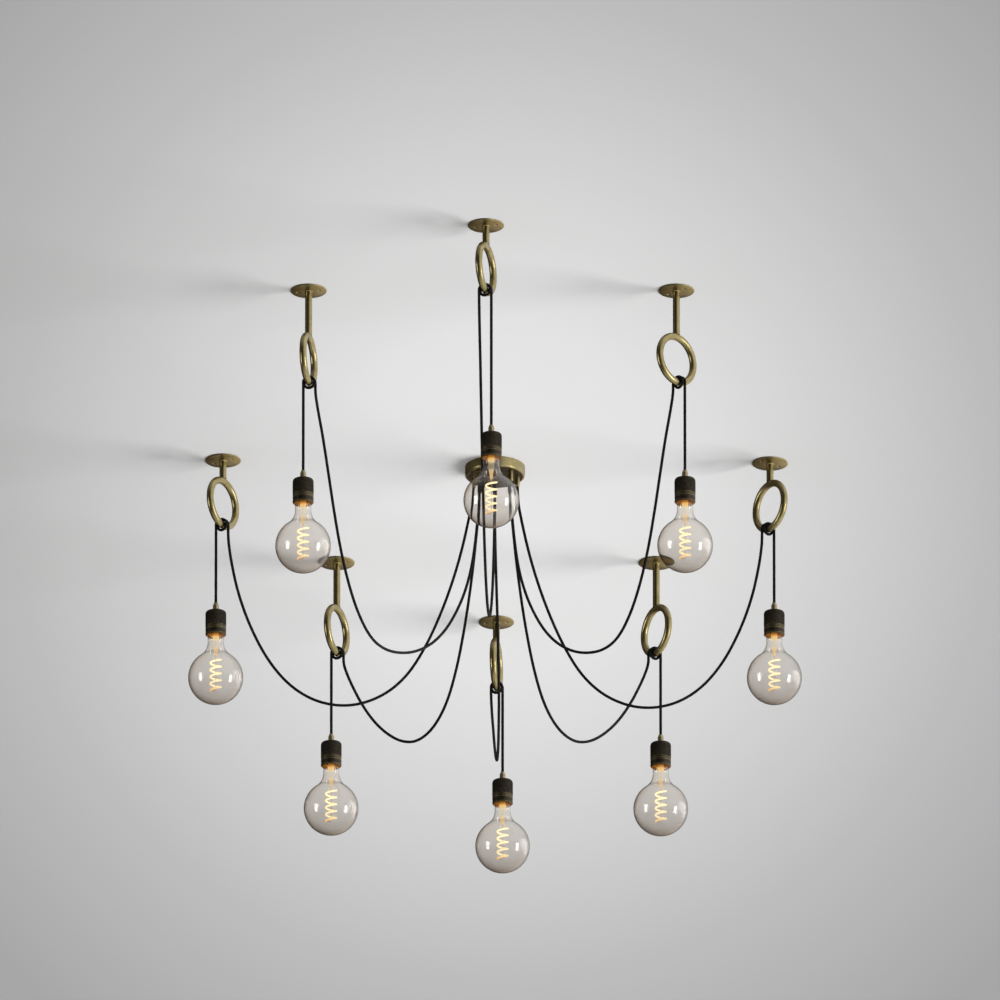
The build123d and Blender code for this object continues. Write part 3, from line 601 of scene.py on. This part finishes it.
# painted shade and painted light: the ceramic is coloured dark as if shaded in the holder, and glows faintly as if
# lit by the bulb
CERAMIC_PAINTED_SHADE = [(0.3, (0.30, 0.20, 0.10)), (0.7, (0.40, 0.27, 0.14))]
CERAMIC_PAINTED_GLOW = [(0.3, (0.8, 0.2, 0.015)), (0.7, (1.0, 0.34, 0.04))]
PLASTIC = [(0.3, (0.028, 0.028, 0.029)), (0.7, (0.04, 0.04, 0.041))]
CERAMIC_GRAIN, PLASTIC_GRAIN, GRAIN_STRENGTH, GRAIN_DEPTH = 700.0, 1500.0, 0.3, 0.05

filament_glow, tree, shader = new_material("filament_glow", {
    "Base Color": (0.30, 0.22, 0.10, 1), "Roughness": 0.6, "Emission Strength": 1.3})
lit = blend_colours(attribute(tree, "warm"), LIT, LIT_END)
# painted shade: the glow turns darker and browner where the wire turns away from the eye
edge_painted_shade = times(add(tree, "ShaderNodeLayerWeight").outputs["Facing"], EDGE_SHADE_SHARE)
feed(shader, {"Emission Color": blend_colours(edge_painted_shade, lit, LIT_EDGE_PAINTED_SHADE)})

stem_painted_glow, tree, shader = new_material("stem_painted_glow", {
    "Base Color": (0.10, 0.07, 0.035, 1), "Roughness": 0.25, "IOR": GLASS_IOR, "Emission Strength": 1.0})
down = uv_parts(tree)["Y"]
feed(shader, {"Emission Color": ramp(down, STEM_PAINTED_GLOW), "Alpha": ramp(down, VEILS)})

socket_ceramic, tree, shader = new_material("socket_ceramic", {"Roughness": 0.7, "Emission Strength": 0.16})
grain = noise(object_place(tree), CERAMIC_GRAIN, 4.0)
feed(shader, {"Base Color": ramp(grain, CERAMIC_PAINTED_SHADE), "Emission Color": ramp(grain, CERAMIC_PAINTED_GLOW)})
block_plastic, tree, shader = new_material("block_plastic", {"Roughness": 0.5})
grain = noise(object_place(tree), PLASTIC_GRAIN, 2.0)
feed(shader, {"Base Color": ramp(grain, PLASTIC)})
set_bump(shader, grain, GRAIN_STRENGTH, GRAIN_DEPTH * MM)
for glowing in (filament_glow, stem_painted_glow, socket_ceramic):
    glowing.cycles.emission_sampling = "NONE"
print("glow, ceramic and plastic ready")

# %% [markdown]
# ## Turned shapes
# Canopy, grips, lampholders and bulbs are all turned on a lathe or blown round an axis. An outline in
# radius and height, with a rounding for each corner, says all of it. The Screw modifier could turn the
# outline, but here each point also carries a value for rubbing, painted shade and painted highlight, and a glow
# value, so the script lays the rings itself.

# %% Helpers for turned shapes
ROUND_STEPS, POLE_R = 5, 1e-6


def softened(corners):
    """Rounds a closed outline of (radius, height, rounding, rub, glow) corners; the last three may be left out."""
    full = [tuple(corner) + (0, 0, 0)[len(corner) - 2:] for corner in corners]
    points = []
    for i, (r, z, rounding, rub_and_painted_light, glow) in enumerate(full):
        if rounding == 0:
            points.append((r, z, rub_and_painted_light, glow))
            continue
        here = Vector((r, z))
        before = (Vector(full[i - 1][:2]) - here).normalized()
        after = (Vector(full[(i + 1) % len(full)][:2]) - here).normalized()
        half = before.angle(after) / 2
        inward = (before + after).normalized() * (rounding / math.sin(half))
        start, end = [way * (rounding / math.tan(half)) - inward for way in (before, after)]
        for step in range(ROUND_STEPS + 1):
            spoke = start.slerp(end, step / ROUND_STEPS) * rounding
            points.append((*(here + inward + spoke), rub_and_painted_light, glow))
    return points


def ring_at(bm, z, radii):
    """A level ring of points, given in millimetres; on the axis it is one point, repeated."""
    if max(radii) < POLE_R:
        return [bm.verts.new(up(z * MM))] * len(radii)
    return [bm.verts.new(level(360 * j / len(radii), r * MM) + up(z * MM)) for j, r in enumerate(radii)]


def turned(name, corners, segments, sharp=35):
    """Turns a rounded outline about the upright axis into a mesh with a UV map down the outline."""
    points = softened(corners)
    bm = bmesh.new()
    layers = [bm.verts.layers.float.new("rub_and_painted_light"), bm.verts.layers.float.new("glow")]
    rings, lengths = [], [0.0]
    for (r, z, *marks), after in zip(points, points[1:] + points[:1]):
        rings.append(ring_at(bm, z, [r] * segments))
        for vertex in rings[-1]:
            for layer, mark in zip(layers, marks):
                vertex[layer] = mark
        lengths.append(lengths[-1] + math.dist((r, z), after[:2]))
    skin(bm, rings + rings[:1], [length / lengths[-1] for length in lengths])
    return finished(name, bm, sharp)


def moved(mesh, place):
    """A copy of a mesh with its place, in millimetres, in its points."""
    copy = mesh.copy()
    copy.transform(Matrix.Translation(place * MM))
    return copy


def coat(mesh, material):
    mesh.materials.clear()
    mesh.materials.append(material)


def dress(name, mesh, material, body, slot, *nodes):
    """Makes a mesh a piece that rides on a body and stands for CAD nodes."""
    coat(mesh, material)
    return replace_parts(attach(new_piece(name, mesh), body), *nodes)


print("lathe ready")

# %% [markdown]
# ## Geometry Nodes for what repeats
# Eight hoops, eight grips and many ribs are one shape set down on many points. One tree sets a piece on
# each point and turns it by the point's own angle. Copies in a loop would do the same, but here points can
# be moved or added later, and the tree follows. It ends in real faces, as the export needs.

# %% Trees of Geometry Nodes
HOOP_STEPS, BAR_SIDES, COIL_STEPS, WIRE_SIDES = 128, 36, 40, 12


def geometry_group(name, *sizes, **others):
    """A tree that takes points, sizes and a material."""
    ends = {"Geometry": "NodeSocketGeometry"}
    inputs = {**ends, **dict.fromkeys(sizes, NUMBER), **others, "Material": "NodeSocketMaterial"}
    return new_group("GeometryNodeTree", name, inputs, ends)


def end_tree(given, result, instance):
    """Sets an instance on each point, turned by the point's angle, as real, smooth, coated faces."""
    angle = add(result.id_data, "GeometryNodeInputNamedAttribute", {"Name": "turn"}, data_type="FLOAT")
    turn = join("ShaderNodeCombineXYZ", {"Z": angle.outputs["Attribute"]})["Vector"]
    upright = join("FunctionNodeEulerToRotation", {"Euler": turn})["Rotation"]
    copies = join("GeometryNodeInstanceOnPoints", {
        "Points": given["Geometry"], "Instance": instance, "Rotation": upright})["Instances"]
    real = join("GeometryNodeRealizeInstances", {"Geometry": copies})["Geometry"]
    smooth = join("GeometryNodeSetShadeSmooth", {"Geometry": real})["Geometry"]
    coated = join("GeometryNodeSetMaterial", {"Geometry": smooth, "Material": given["Material"]})["Geometry"]
    feed(result, {"Geometry": coated})


def circle_of(radius, sides):
    return join("GeometryNodeCurvePrimitiveCircle", {"Resolution": sides, "Radius": radius})["Curve"]


def bar_along(curve, radius, sides, **settings):
    profile = circle_of(radius, sides)
    return join("GeometryNodeCurveToMesh", {"Curve": curve, "Profile Curve": profile, **settings})["Mesh"]


def grow(name, tree, points, turns=None, **values):
    """Runs a tree on points in millimetres, with turns in degrees, and returns the plain mesh."""
    mesh = bpy.data.meshes.new(name)
    mesh.from_pydata([tuple(point * MM) for point in points], [], [])
    angles = [math.radians(turn) for turn in turns or [0] * len(points)]
    mesh.attributes.new("turn", "FLOAT", "POINT").data.foreach_set("value", angles)
    carrier = new_piece(name, mesh)
    modifier = carrier.modifiers.new("nodes", "NODES")
    modifier.node_group = tree
    for socket in tree.interface.items_tree:
        if socket.in_out == "INPUT" and socket.name in values:
            modifier[socket.identifier] = values[socket.name]
    result = mesh_of(carrier)
    carrier.modifiers.remove(modifier)
    bpy.data.objects.remove(carrier)
    return result


repeat_tree, given, result = geometry_group("repeat_piece", Piece="NodeSocketObject")
piece_info = join("GeometryNodeObjectInfo", {"Object": given["Piece"], "As Instance": True})
end_tree(given, result, piece_info["Geometry"])

hoop_tree, given, result = geometry_group("hoops", "Radius", "Tube")
hoop = bar_along(circle_of(given["Radius"], HOOP_STEPS), given["Tube"], BAR_SIDES)
end_tree(given, result, join("GeometryNodeTransform", {
    "Geometry": hoop, "Rotation": (math.pi / 2, 0, 0)})["Geometry"])

coil_tree, given, result = geometry_group("filament_coil", "Turns", "Radius", "Depth", "Height", "Wire")
spiral = join("GeometryNodeCurveSpiral", {
    "Resolution": COIL_STEPS, "Rotations": given["Turns"], "Start Radius": given["Radius"],
    "End Radius": given["Radius"], "Height": given["Height"]})["Curve"]
pressed = join("ShaderNodeCombineXYZ", {"X": 1.0, "Y": given["Depth"], "Z": 1.0})["Vector"]
oval = join("GeometryNodeTransform", {"Geometry": spiral, "Scale": pressed})["Geometry"]
end_tree(given, result, bar_along(oval, given["Wire"], WIRE_SIDES, **{"Fill Caps": True}))


def repeated(name, mesh, material, points, turns=None):
    """Sets one mesh on many points and returns the plain mesh of them all."""
    pattern = new_piece(f"{name}_pattern", mesh)
    result = grow(name, repeat_tree, points, turns, Piece=pattern, Material=material)
    bpy.data.objects.remove(pattern)
    return result


print("trees", repeat_tree.name, hoop_tree.name, coil_tree.name)

# %% [markdown]
# ## Hooks
# Each hook is a round plate with two countersunk holes, a turned stem and a hoop of round bar welded to it.
# The hoops come from the tree, and the stems are turned to their two lengths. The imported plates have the
# right holes and edges, so they only get the finish. Pressed plates are never quite flat: a lean on their
# points domes the shading a little.

# %% Hooks
STEM_R, STEM_SINK, STEM_FLARE, STEM_SEGMENTS = 8.0, 3.0, 1.4, 48
PLATE_R, PLATE_LEAN = 41.0, 0.28

hoops = grow("hoops", hoop_tree, [ring_centre(hook) for hook in HOOKS], [hook.faces + 90 for hook in HOOKS],
             Radius=RING_R * MM, Tube=TUBE_R * MM, Material=aged_brass)
dress("ring_hoops", hoops, aged_brass, "root", "aged_brass", "hook_rings")
for n, hook in zip(numbers, HOOKS):
    foot = -PLATE_T - hook.stem - STEM_SINK
    outline = [
        (0, -PLATE_T), (STEM_R + STEM_FLARE, -PLATE_T), (STEM_R, -PLATE_T - STEM_FLARE), (STEM_R, foot), (0, foot)]
    stem = moved(turned(f"stem_{n}", outline, STEM_SEGMENTS), Vector((hook.x, hook.y, 0)))
    dress(f"stem_{n}", stem, aged_brass, "root", "aged_brass", "hook_stems")
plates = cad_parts["hook_plates"].data
lean = plates.attributes.new("lean", "FLOAT_VECTOR", "POINT")
for vertex, entry in zip(plates.vertices, lean.data):
    offsets = [vertex.co.xy / MM - Vector((hook.x, hook.y)) for hook in HOOKS]
    entry.vector = (min(offsets, key=lambda offset: offset.length) / PLATE_R * PLATE_LEAN).to_3d()
plate_brass, tree, shader, _ = aged_metal("plate_brass", **BRASS_FINISH)
flat = add(tree, "ShaderNodeNewGeometry").outputs["Normal"]
domed = vector_node("ADD", flat, attribute(tree, "lean", "Vector"))
feed(tree.nodes["Bump"], {"Normal": vector_node("NORMALIZE", domed)})
coat(plates, plate_brass)
print("hoops", len(hoops.polygons), "faces")

# %% [markdown]
# ## Canopy
# The canopy is a spun brass cup that hides the wiring, with eight turned grips through its floor, one for
# each cord. The cup is turned from its outline with a rolled lower edge; a value of 1 on the floor's points
# paints shade there, nearly black.
# The grip is turned once, and the tree sets it on eight points. Strap, nuts, block and tails inside are the
# solids with a finish.

# %% Canopy
CUP_SEGMENTS, GRIP_SEGMENTS = 160, 40

# the value 1 on the floor's points paints shade there, nearly black
canopy = turned("canopy", [
    (68, 0, 0.4), (68, -24, 4), (63, -24, 0, 1), (0, -24, 0, 1), (0, -22.4), (66.4, -22.4, 2.4), (66.4, 0, 0.4)],
    CUP_SEGMENTS)
dress("canopy_cup", canopy, aged_brass, "root", "aged_brass", "canopy_cover")
grip = turned("grip", [
    (3.55, -16.4), (4.5, -16.4), (4.5, -24), (5.25, -24), (5.25, -27.2, 0.2), (4.85, -27.5, 0.1), (4.85, -28.4, 0.1),
    (5.25, -28.7, 0.2), (5.25, -45, 0.8), (4.3, -49, 0.4), (3.55, -49)], GRIP_SEGMENTS)
grips = repeated("grips", grip, aged_brass, [level(hook.grip, GRIP_CIRCLE_R) for hook in HOOKS])
dress("canopy_grips", grips, aged_brass, "root", "aged_brass", "canopy_cord_grips")
for node, finish in {
        "ceiling_strap": zinc_steel, "canopy_screws": aged_brass, "canopy_grip_nuts": zinc_steel,
        "junction_block": block_plastic, "cord_tails": block_plastic}.items():
    coat(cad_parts[node].data, finish)
print("canopy", len(canopy.polygons), "faces, grips", len(grips.polygons))

# %% [markdown]
# ## Lampholders
# A lampholder is a turned bronze shell with fine upright ribs, a grooved band with a bead, and a collar
# that closes its mouth. The ribs are one half-round bar set round the shell by the tree. A bump map could
# draw them, but the outline of the shell would stay smooth. A small brass grip on top holds the cord.

# %% Lampholders
SHELL_R, SHELL_SEGMENTS = 23.2, 96
RIBS = 64
RIB_TOP, RIB_END, RIB_TAPER, RIB_TIP = -4.6, -35.6, 0.8, 0.15
RIB_HALF, RIB_HEIGHT = 0.75, 0.55
RIB_SECTION = [(-1, -0.3), (-0.7, 0.6), (0, 1), (0.7, 0.6), (1, -0.3)]

# the rubbing values on the beads of shell and collar mark rubbed brass, partly a painted highlight
shell = turned("shell", [
    (5.0, 0), (SHELL_R, 0, 4.0), (SHELL_R, -36.3, 0.2), (23.75, -36.6, 0.2, 1), (23.75, -37.5, 0.2, 1),
    (22.3, -37.9, 0.1), (22.3, -39.3, 0.2), (23.4, -39.7, 0.3, 0.8), (23.4, -41.5, 0.3, 0.8), (22.6, -41.9, 0.2),
    (22.6, -44), (21.95, -44), (21.95, -2.4), (5.0, -2.4)], SHELL_SEGMENTS)
# the glow values on the collar's inner wall mark where it emits the bulb's painted light
collar = turned("collar", [
    (21.75, -39), (21.75, -44), (23.75, -44, 0.3, 1), (23.75, -45.2, 0.2, 1), (23.35, -45.5, 0.2),
    (23.35, -54.4, 0.2), (23.75, -54.8, 0.2, 0.3), (23.75, -56.0, 0.6, 0.6), (20.7, -59, 0.5, 0.4, 0.15),
    (19.4, -59, 0.3, 0.2, 0.6), (19.4, -56, 0, 0, 1), (19.8, -56, 0, 0, 1), (19.8, -39, 0, 0, 1)], SHELL_SEGMENTS)
cord_grip = turned("cord_grip", [
    (3.55, 21), (4.9, 21, 0.5), (5.3, 18, 0.4), (6.75, 15, 0.5), (6.75, 1.4, 0.3), (6.2, 1.0, 0.1), (6.2, 0),
    (4.8, 0), (4.8, -8), (3.55, -8)], GRIP_SEGMENTS)

bm = bmesh.new()
stations = [(RIB_TOP, RIB_TIP), (RIB_TOP - RIB_TAPER, 1), (RIB_END + RIB_TAPER, 1), (RIB_END, RIB_TIP)]
sections = [
    [bm.verts.new(Vector((SHELL_R + h * share * RIB_HEIGHT, a * RIB_HALF, z)) * MM) for a, h in RIB_SECTION]
    for z, share in stations]
skin(bm, sections, ends=True)
turns = [360 * k / RIBS for k in range(RIBS)]
ribs = repeated("ribs", finished("rib", bm), dark_bronze, [Vector()] * RIBS, turns)


def dress_all(name, mesh, material, body, slot, node):
    """Dresses all eight pendants with one mesh; name, body and node get the pendant's number."""
    for n in numbers:
        dress(f"{name}_{n}", moved(mesh, holder_place(n)), material, f"{body}_{n}", slot, f"{node}_{n}")


for name, mesh in (("shell", shell), ("ribs", ribs), ("collar", collar)):
    dress_all(f"holder_{name}", mesh, dark_bronze, "pendant", "dark_bronze", "lampholder_shell")
dress_all("holder_grip", cord_grip, grip_brass, "pendant", "aged_brass", "lampholder_shell")
for n in numbers:
    coat(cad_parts[f"lampholder_insert_{n}"].data, socket_ceramic)
print("lampholder", sum(len(mesh.polygons) for mesh in (shell, ribs, collar, cord_grip)), "faces")

# %% [markdown]
# ## Bulbs
# The globe is blown in one piece with its neck, so its wall is even and the neck flows into the sphere in
# one wide curve. The outline is drawn once for the outer wall and once for the inner one and turned. Both
# walls are needed: a solid ball of glass would bend what is behind it like a lens.

# %% Glass of the bulbs
GLOBE_R, NECK_R, NECK_FLARE, WALL = 62.5, 18.0, 45.0, 0.1
GLOBE_Z, SHOULDER_Z, GLASS_TOP = -161.0, -60.0, -40.0
FOOT_R, FOOT_Z = 12.4, -52.0
FLARE_STEPS, ARC_STEPS, GLASS_SEGMENTS = 12, 40, 128
# heights over which painted shade darkens the glass towards the bottom
BOTTOM_SHADE_FROM, BOTTOM_SHADE_TO = -165.0, -222.0
CLEAR_FROM, CLEAR_TO = -132.0, -102.0


def glass_line(wall):
    """Neck, flare and globe of one face of the glass, from the shoulder to the bottom pole."""
    neck, globe, flare = NECK_R - wall, GLOBE_R - wall, NECK_FLARE + wall
    rise = math.sqrt((globe + flare) ** 2 - (neck + flare) ** 2)
    lean = math.atan2(rise, neck + flare)
    line = [(neck, SHOULDER_Z)]
    for step in range(FLARE_STEPS + 1):
        angle = math.pi + lean * step / FLARE_STEPS
        line.append((neck + flare + flare * math.cos(angle), GLOBE_Z + rise + flare * math.sin(angle)))
    for step in range(1, ARC_STEPS + 1):
        angle = lean - (lean + math.pi / 2) * step / ARC_STEPS
        line.append((max(0.0, globe * math.cos(angle)), GLOBE_Z + globe * math.sin(angle)))
    line[-1] = (0.0, GLOBE_Z - globe)
    return line


def between(z, start, end):
    """Share of the way from a start height to an end height, kept between 0 and 1."""
    return min(1.0, max(0.0, (z - start) / (end - start)))


foot_out = [(FOOT_R, GLASS_TOP), (FOOT_R, FOOT_Z)]
foot_in = [(FOOT_R - WALL, FOOT_Z - WALL), (FOOT_R - WALL, GLASS_TOP)]
outline = foot_out + glass_line(0) + glass_line(WALL)[::-1] + foot_in
glass = turned("glass", [
    (r, z, 0, between(z, BOTTOM_SHADE_FROM, BOTTOM_SHADE_TO), between(z, CLEAR_FROM, CLEAR_TO)) for r, z in outline],
    GLASS_SEGMENTS, sharp=60)
dress_all("globe", glass, glass_wall, "bulb", "bulb_glass", "bulb_glass")
print("globe", len(glass.polygons), "faces")

# %% [markdown]
# ## Filament, stem and cap
# Inside hangs one long LED filament wound in a loose spiral on a glass stem. Geometry Nodes have a spiral
# curve, which gives the winding from its turns, radius and height. It is pressed to an oval, so that the
# turns read as a zigzag from below. The screw cap is rolled sheet: a grid of points whose radius follows a
# helix, so the thread climbs as a real one does.

# %% Filament, stem and cap
COIL_TURNS, COIL_R, COIL_DEPTH, COIL_H, COIL_TOP, WIRE_R = 4.5, 12.0, 0.5, 76.0, -117.0, 2.1
COIL_END = COIL_TOP - COIL_H
WARM_L = 9.0
ARM_R, ARM_STEPS = 0.7, 4
STEM_GLASS_SEGMENTS = 40
THREAD_PITCH, THREAD_DEPTH, THREAD_FADE, CAP_R = 3.63, 0.45, 6, 13.2
CAP_TOP, CAP_END = -25.0, -51.0
CAP_SIDES, CAP_ROWS = 48, 60
CAP_BUTTON = [(0.0, -18.3), (3.4, -18.3), (4.0, -18.9), (4.0, -20.0)]
CAP_INSIDE = [(12.6, CAP_END), (12.6, CAP_TOP - 0.6), (0.0, CAP_TOP - 0.6)]
CAP_SHARP = 50

coil = grow("coil", coil_tree, [up(COIL_TOP)], Turns=COIL_TURNS, Radius=COIL_R * MM, Depth=COIL_DEPTH,
            Height=-COIL_H * MM, Wire=WIRE_R * MM, Material=filament_glow)
warmth = [between(vertex.co.z / MM, COIL_END + WARM_L, COIL_END) for vertex in coil.vertices]
coil.attributes.new("warm", "FLOAT", "POINT").data.foreach_set("value", warmth)
stem_mesh = turned("bulb_stem", [
    (0, -41), (7.8, -41), (7.8, -52.6, 1), (7.2, -60, 4), (6.8, -84, 5), (4.6, -92, 3), (3.4, -107, 2),
    (1.3, -113, 0.5), (1.2, COIL_END, 0.4), (0, COIL_END)], STEM_GLASS_SEGMENTS)
arms = []
for z, turn in [(COIL_TOP, 0), (COIL_END, 360 * COIL_TURNS)]:
    reach = level(turn, COIL_R - WIRE_R / 2)
    line = [(up(z) + reach * k / ARM_STEPS) * MM for k in range(ARM_STEPS + 1)]
    arms.append(tube_mesh("arm", line, ARM_R * MM)[0])

bm = bmesh.new()
rows = [ring_at(bm, z, [r] * CAP_SIDES) for r, z in CAP_BUTTON]
for k in range(CAP_ROWS + 1):
    z = CAP_TOP + (CAP_END - CAP_TOP) * k / CAP_ROWS
    depth = THREAD_DEPTH * min(1.0, k / THREAD_FADE, (CAP_ROWS - k) / THREAD_FADE)
    waves = [math.cos(2 * math.pi * (z / THREAD_PITCH + j / CAP_SIDES)) - 1 for j in range(CAP_SIDES)]
    rows.append(ring_at(bm, z, [CAP_R + depth * wave for wave in waves]))
skin(bm, rows + [ring_at(bm, z, [r] * CAP_SIDES) for r, z in CAP_INSIDE])
cap = finished("cap", bm, CAP_SHARP)

dress_all("coil", coil, filament_glow, "bulb", "filament", "bulb_filament")
dress_all("bulb_stem", stem_mesh, stem_painted_glow, "bulb", "filament", "bulb_filament")
for k, arm in enumerate(arms, 1):
    dress_all(f"coil_arm_{k}", arm, cap_brass, "bulb", "cap_brass", "bulb_filament")
dress_all("cap", cap, cap_brass, "bulb", "cap_brass", "bulb_cap")
print("coil", len(coil.polygons), "cap", len(cap.polygons), "faces")

# %% [markdown]
# ## Ceiling
# The stage is the ceiling itself, a flat pale plane at the height of the plates, with a painted pool of light:
# brightest round the canopy and darker far out, as a function of its own coordinates. Its upper side is
# see-through, so that views from above still show the lamp, and mirrors look past it into the room. Dark discs
# behind the plates' holes are painted shade, as the drilled holes would be dark inside.

# %% Ceiling
CEILING_HALF, CEILING_Z = 7.0, 0.0004
# painted light: the ceiling's tone falls off from a bright pool round the canopy
CEILING_PAINTED_LIGHT_POOL = [(0.0, 0.875), (0.25, 0.82), (0.43, 0.71), (0.70, 0.535), (1.0, 0.40)]
CEILING_MIDDLE, CEILING_FADE = (-0.0114, -0.0751, 0.0), 1.6
HOLE_CIRCLE_R, DRILL_R, DRILL_LOW, DRILL_HIGH = 24.5, 2.6, 0.2, 0.3
DRILL_SEGMENTS = 24
HALF = 0.5  # a limit between two whole counts of bounces

ceiling_mesh = bpy.data.meshes.new("ceiling")
corners = [(-1, -1), (-1, 1), (1, 1), (1, -1)]
ceiling_mesh.from_pydata([(x * CEILING_HALF, y * CEILING_HALF, CEILING_Z) for x, y in corners], [], [(0, 1, 2, 3)])
new_piece("ceiling", ceiling_mesh)

ceiling_paint, tree, shader = new_material("ceiling_paint", {"Roughness": 0.9, "Specular IOR Level": 0.1})
spot = join("ShaderNodeMapping", {
    "Vector": object_place(tree), "Location": CEILING_MIDDLE, "Scale": (1.0, math.sin(TILT), 0.0)})["Vector"]
far_out = vector_node("LENGTH", spot, output="Value")
feed(shader, {"Base Color": ramp(calc("DIVIDE", far_out, CEILING_FADE), CEILING_PAINTED_LIGHT_POOL)})
behind = add(tree, "ShaderNodeNewGeometry").outputs["Backfacing"]
bounces = add(tree, "ShaderNodeLightPath").outputs["Glossy Depth"]
unseen = calc("MAXIMUM", behind, calc("GREATER_THAN", bounces, HALF))
mix_surface(unseen, shader, add(tree, "ShaderNodeBsdfTransparent"))
ceiling_mesh.materials.append(ceiling_paint)

# painted shade: dark discs set in the ceiling behind the plates' holes
hole_shade_finish = new_material("painted_hole_shade", {"Base Color": (0.02, 0.017, 0.013, 1), "Roughness": 0.95})[0]
disc = turned("disc", [
    (0, DRILL_LOW), (DRILL_R, DRILL_LOW), (DRILL_R, DRILL_HIGH), (0, DRILL_HIGH)], DRILL_SEGMENTS)
spots = [Vector((hook.x, hook.y, 0)) + level(hook.faces, side * HOLE_CIRCLE_R) for hook in HOOKS for side in (-1, 1)]
new_piece("drilled_holes", repeated("holes", disc, hole_shade_finish, spots))
print("ceiling faces down:", ceiling_mesh.polygons[0].normal.z < 0)

# %% [markdown]
# ## Key and windows
# One soft key comes from the right and below, so each hook throws a soft shadow to the left. Metal and glass
# also mirror a tall window on each side. Windows near by would shift from globe to globe, so they are two
# lamps far away, seen in mirrors only.

# %% Key and windows
KEY_WAY = Vector((0.80, 0.06, -0.60))
KEY_POWER, KEY_SPREAD = 2.9, 34.0
WINDOW_FAR, WATTS_PER_BRIGHTNESS = 60.0, 4
WINDOWS = [((0.90, -0.380, -0.2075), (6.4, 13.2), 6.0, 6.0), ((-0.933, -0.351, -0.088), (7.2, 13.8), -8.0, 4.4)]

key = new_piece("key", bpy.data.lights.new("key", "SUN"))
key.data.energy = KEY_POWER
key.data.angle = math.radians(KEY_SPREAD)
key.rotation_euler = (-KEY_WAY).to_track_quat("-Z", "Y").to_euler()
key.visible_glossy = False
key.visible_transmission = False

for n, (direction, half_angles, lean, brightness) in enumerate(WINDOWS, 1):
    window = new_piece(f"window_{n}", bpy.data.lights.new(f"window_{n}", "AREA"))
    middle = Vector(direction).normalized()
    across = Matrix.Rotation(math.radians(lean), 3, middle) @ up(1).cross(middle).normalized()
    turn = Matrix((across, middle.cross(across), middle)).transposed()
    window.matrix_world = Matrix.Translation(middle * WINDOW_FAR) @ turn.to_4x4()
    window.data.shape = "RECTANGLE"
    width, height = [2 * WINDOW_FAR * math.tan(math.radians(half)) for half in half_angles]
    window.data.size, window.data.size_y = width, height
    window.data.energy = WATTS_PER_BRIGHTNESS * width * height * brightness
    window.visible_camera = False
    window.visible_diffuse = False
print("key", KEY_POWER, "windows", len(WINDOWS))

# %% [markdown]
# ## Room
# The room fills the shadows evenly and is pale to the eye. For rays that have met a mirror it is painted by
# direction: dark to the left, bright to the right, some light from above and below, and warm behind. One
# pale panel to the right shows in the near walls of the globes only, and their far walls mirror little, so
# that the glass stays clear. A picture of a real room would do it too, but it could not be set by hand.

# %% Room
FILL, PALE = 0.40, 0.66
RIGHT_LIGHT, LEFT_LIGHT, TOP_LIGHT, FLOOR_LIGHT = 1.0, 0.075, 0.36, 0.6
PANEL_WAY, PANEL_LIGHT, PANEL_RISE = (0.966, 0.259, 0), 4.8, 0.15
BACK_LIGHT, WALL_LIGHT, WARM = 0.62, 0.045, (1, 0.80, 0.55, 1)
NEAR_WALL_PASSES, FAR_WALL_SHARE = 2.0, 0.135

world = bpy.data.worlds.new("room")
scene.world = world
world.use_nodes = True
world.cycles.sampling_method = "NONE"
tree = world.node_tree
tree.nodes.clear()
path = add(tree, "ShaderNodeLightPath").outputs
way = add(tree, "ShaderNodeTexCoord").outputs["Generated"]


def glow_of(colour, strength):
    return add(tree, "ShaderNodeBackground", {"Color": colour, "Strength": strength}).outputs[0]


def towards(direction):
    """How far a ray's way points in a direction, as a socket."""
    return vector_node("DOT_PRODUCT", way, direction, output="Value")


def share_of(value, low, high, top=1.0):
    """Runs from 0 to a top value while a socket runs from low to high."""
    return map_range(value, low, high, 0.0, top, interpolation_type="SMOOTHSTEP")


to_right, to_back, to_top = towards((1, 0, 0)), towards((0, 1, 0)), towards((0, 0, 1))
off_level = calc("ABSOLUTE", calc("SUBTRACT", to_top, PANEL_RISE))
panel = times(
    share_of(towards(PANEL_WAY), 0.82, 0.95, PANEL_LIGHT), share_of(off_level, 0.34, 0.18),
    calc("COMPARE", path["Transmission Depth"], NEAR_WALL_PASSES))
plain = plus(
    share_of(to_right, -0.12, 0.85, RIGHT_LIGHT), share_of(to_right, -0.6, -1.0, LEFT_LIGHT),
    share_of(to_top, 0.5, 0.95, TOP_LIGHT), share_of(to_top, -0.6, -0.95, FLOOR_LIGHT), panel)
not_far_wall = calc("LESS_THAN", path["Transmission Depth"], NEAR_WALL_PASSES + HALF)
plain = times(plain, calc("MAXIMUM", not_far_wall, FAR_WALL_SHARE))
back_wall = times(
    share_of(to_back, 0.2, 1.0, BACK_LIGHT), share_of(to_top, 0.1, -0.3), share_of(to_right, -0.35, 0.35))
mirror = join("ShaderNodeAddShader", {0: glow_of(WHITE, plain), 1: glow_of(WARM, plus(back_wall, WALL_LIGHT))})
bounced = calc("GREATER_THAN", path["Glossy Depth"], HALF)
straight = calc("MAXIMUM", path["Is Camera Ray"], path["Is Transmission Ray"])
seen = times(straight, calc("SUBTRACT", 1.0, bounced))
shine = mixed(bounced, glow_of(WHITE, FILL), mirror["Shader"])
add(tree, "ShaderNodeOutputWorld", {"Surface": mixed(seen, shine, glow_of(WHITE, PALE))})
scene.view_settings.view_transform = "Standard"
print("fill", FILL, "pale", PALE)
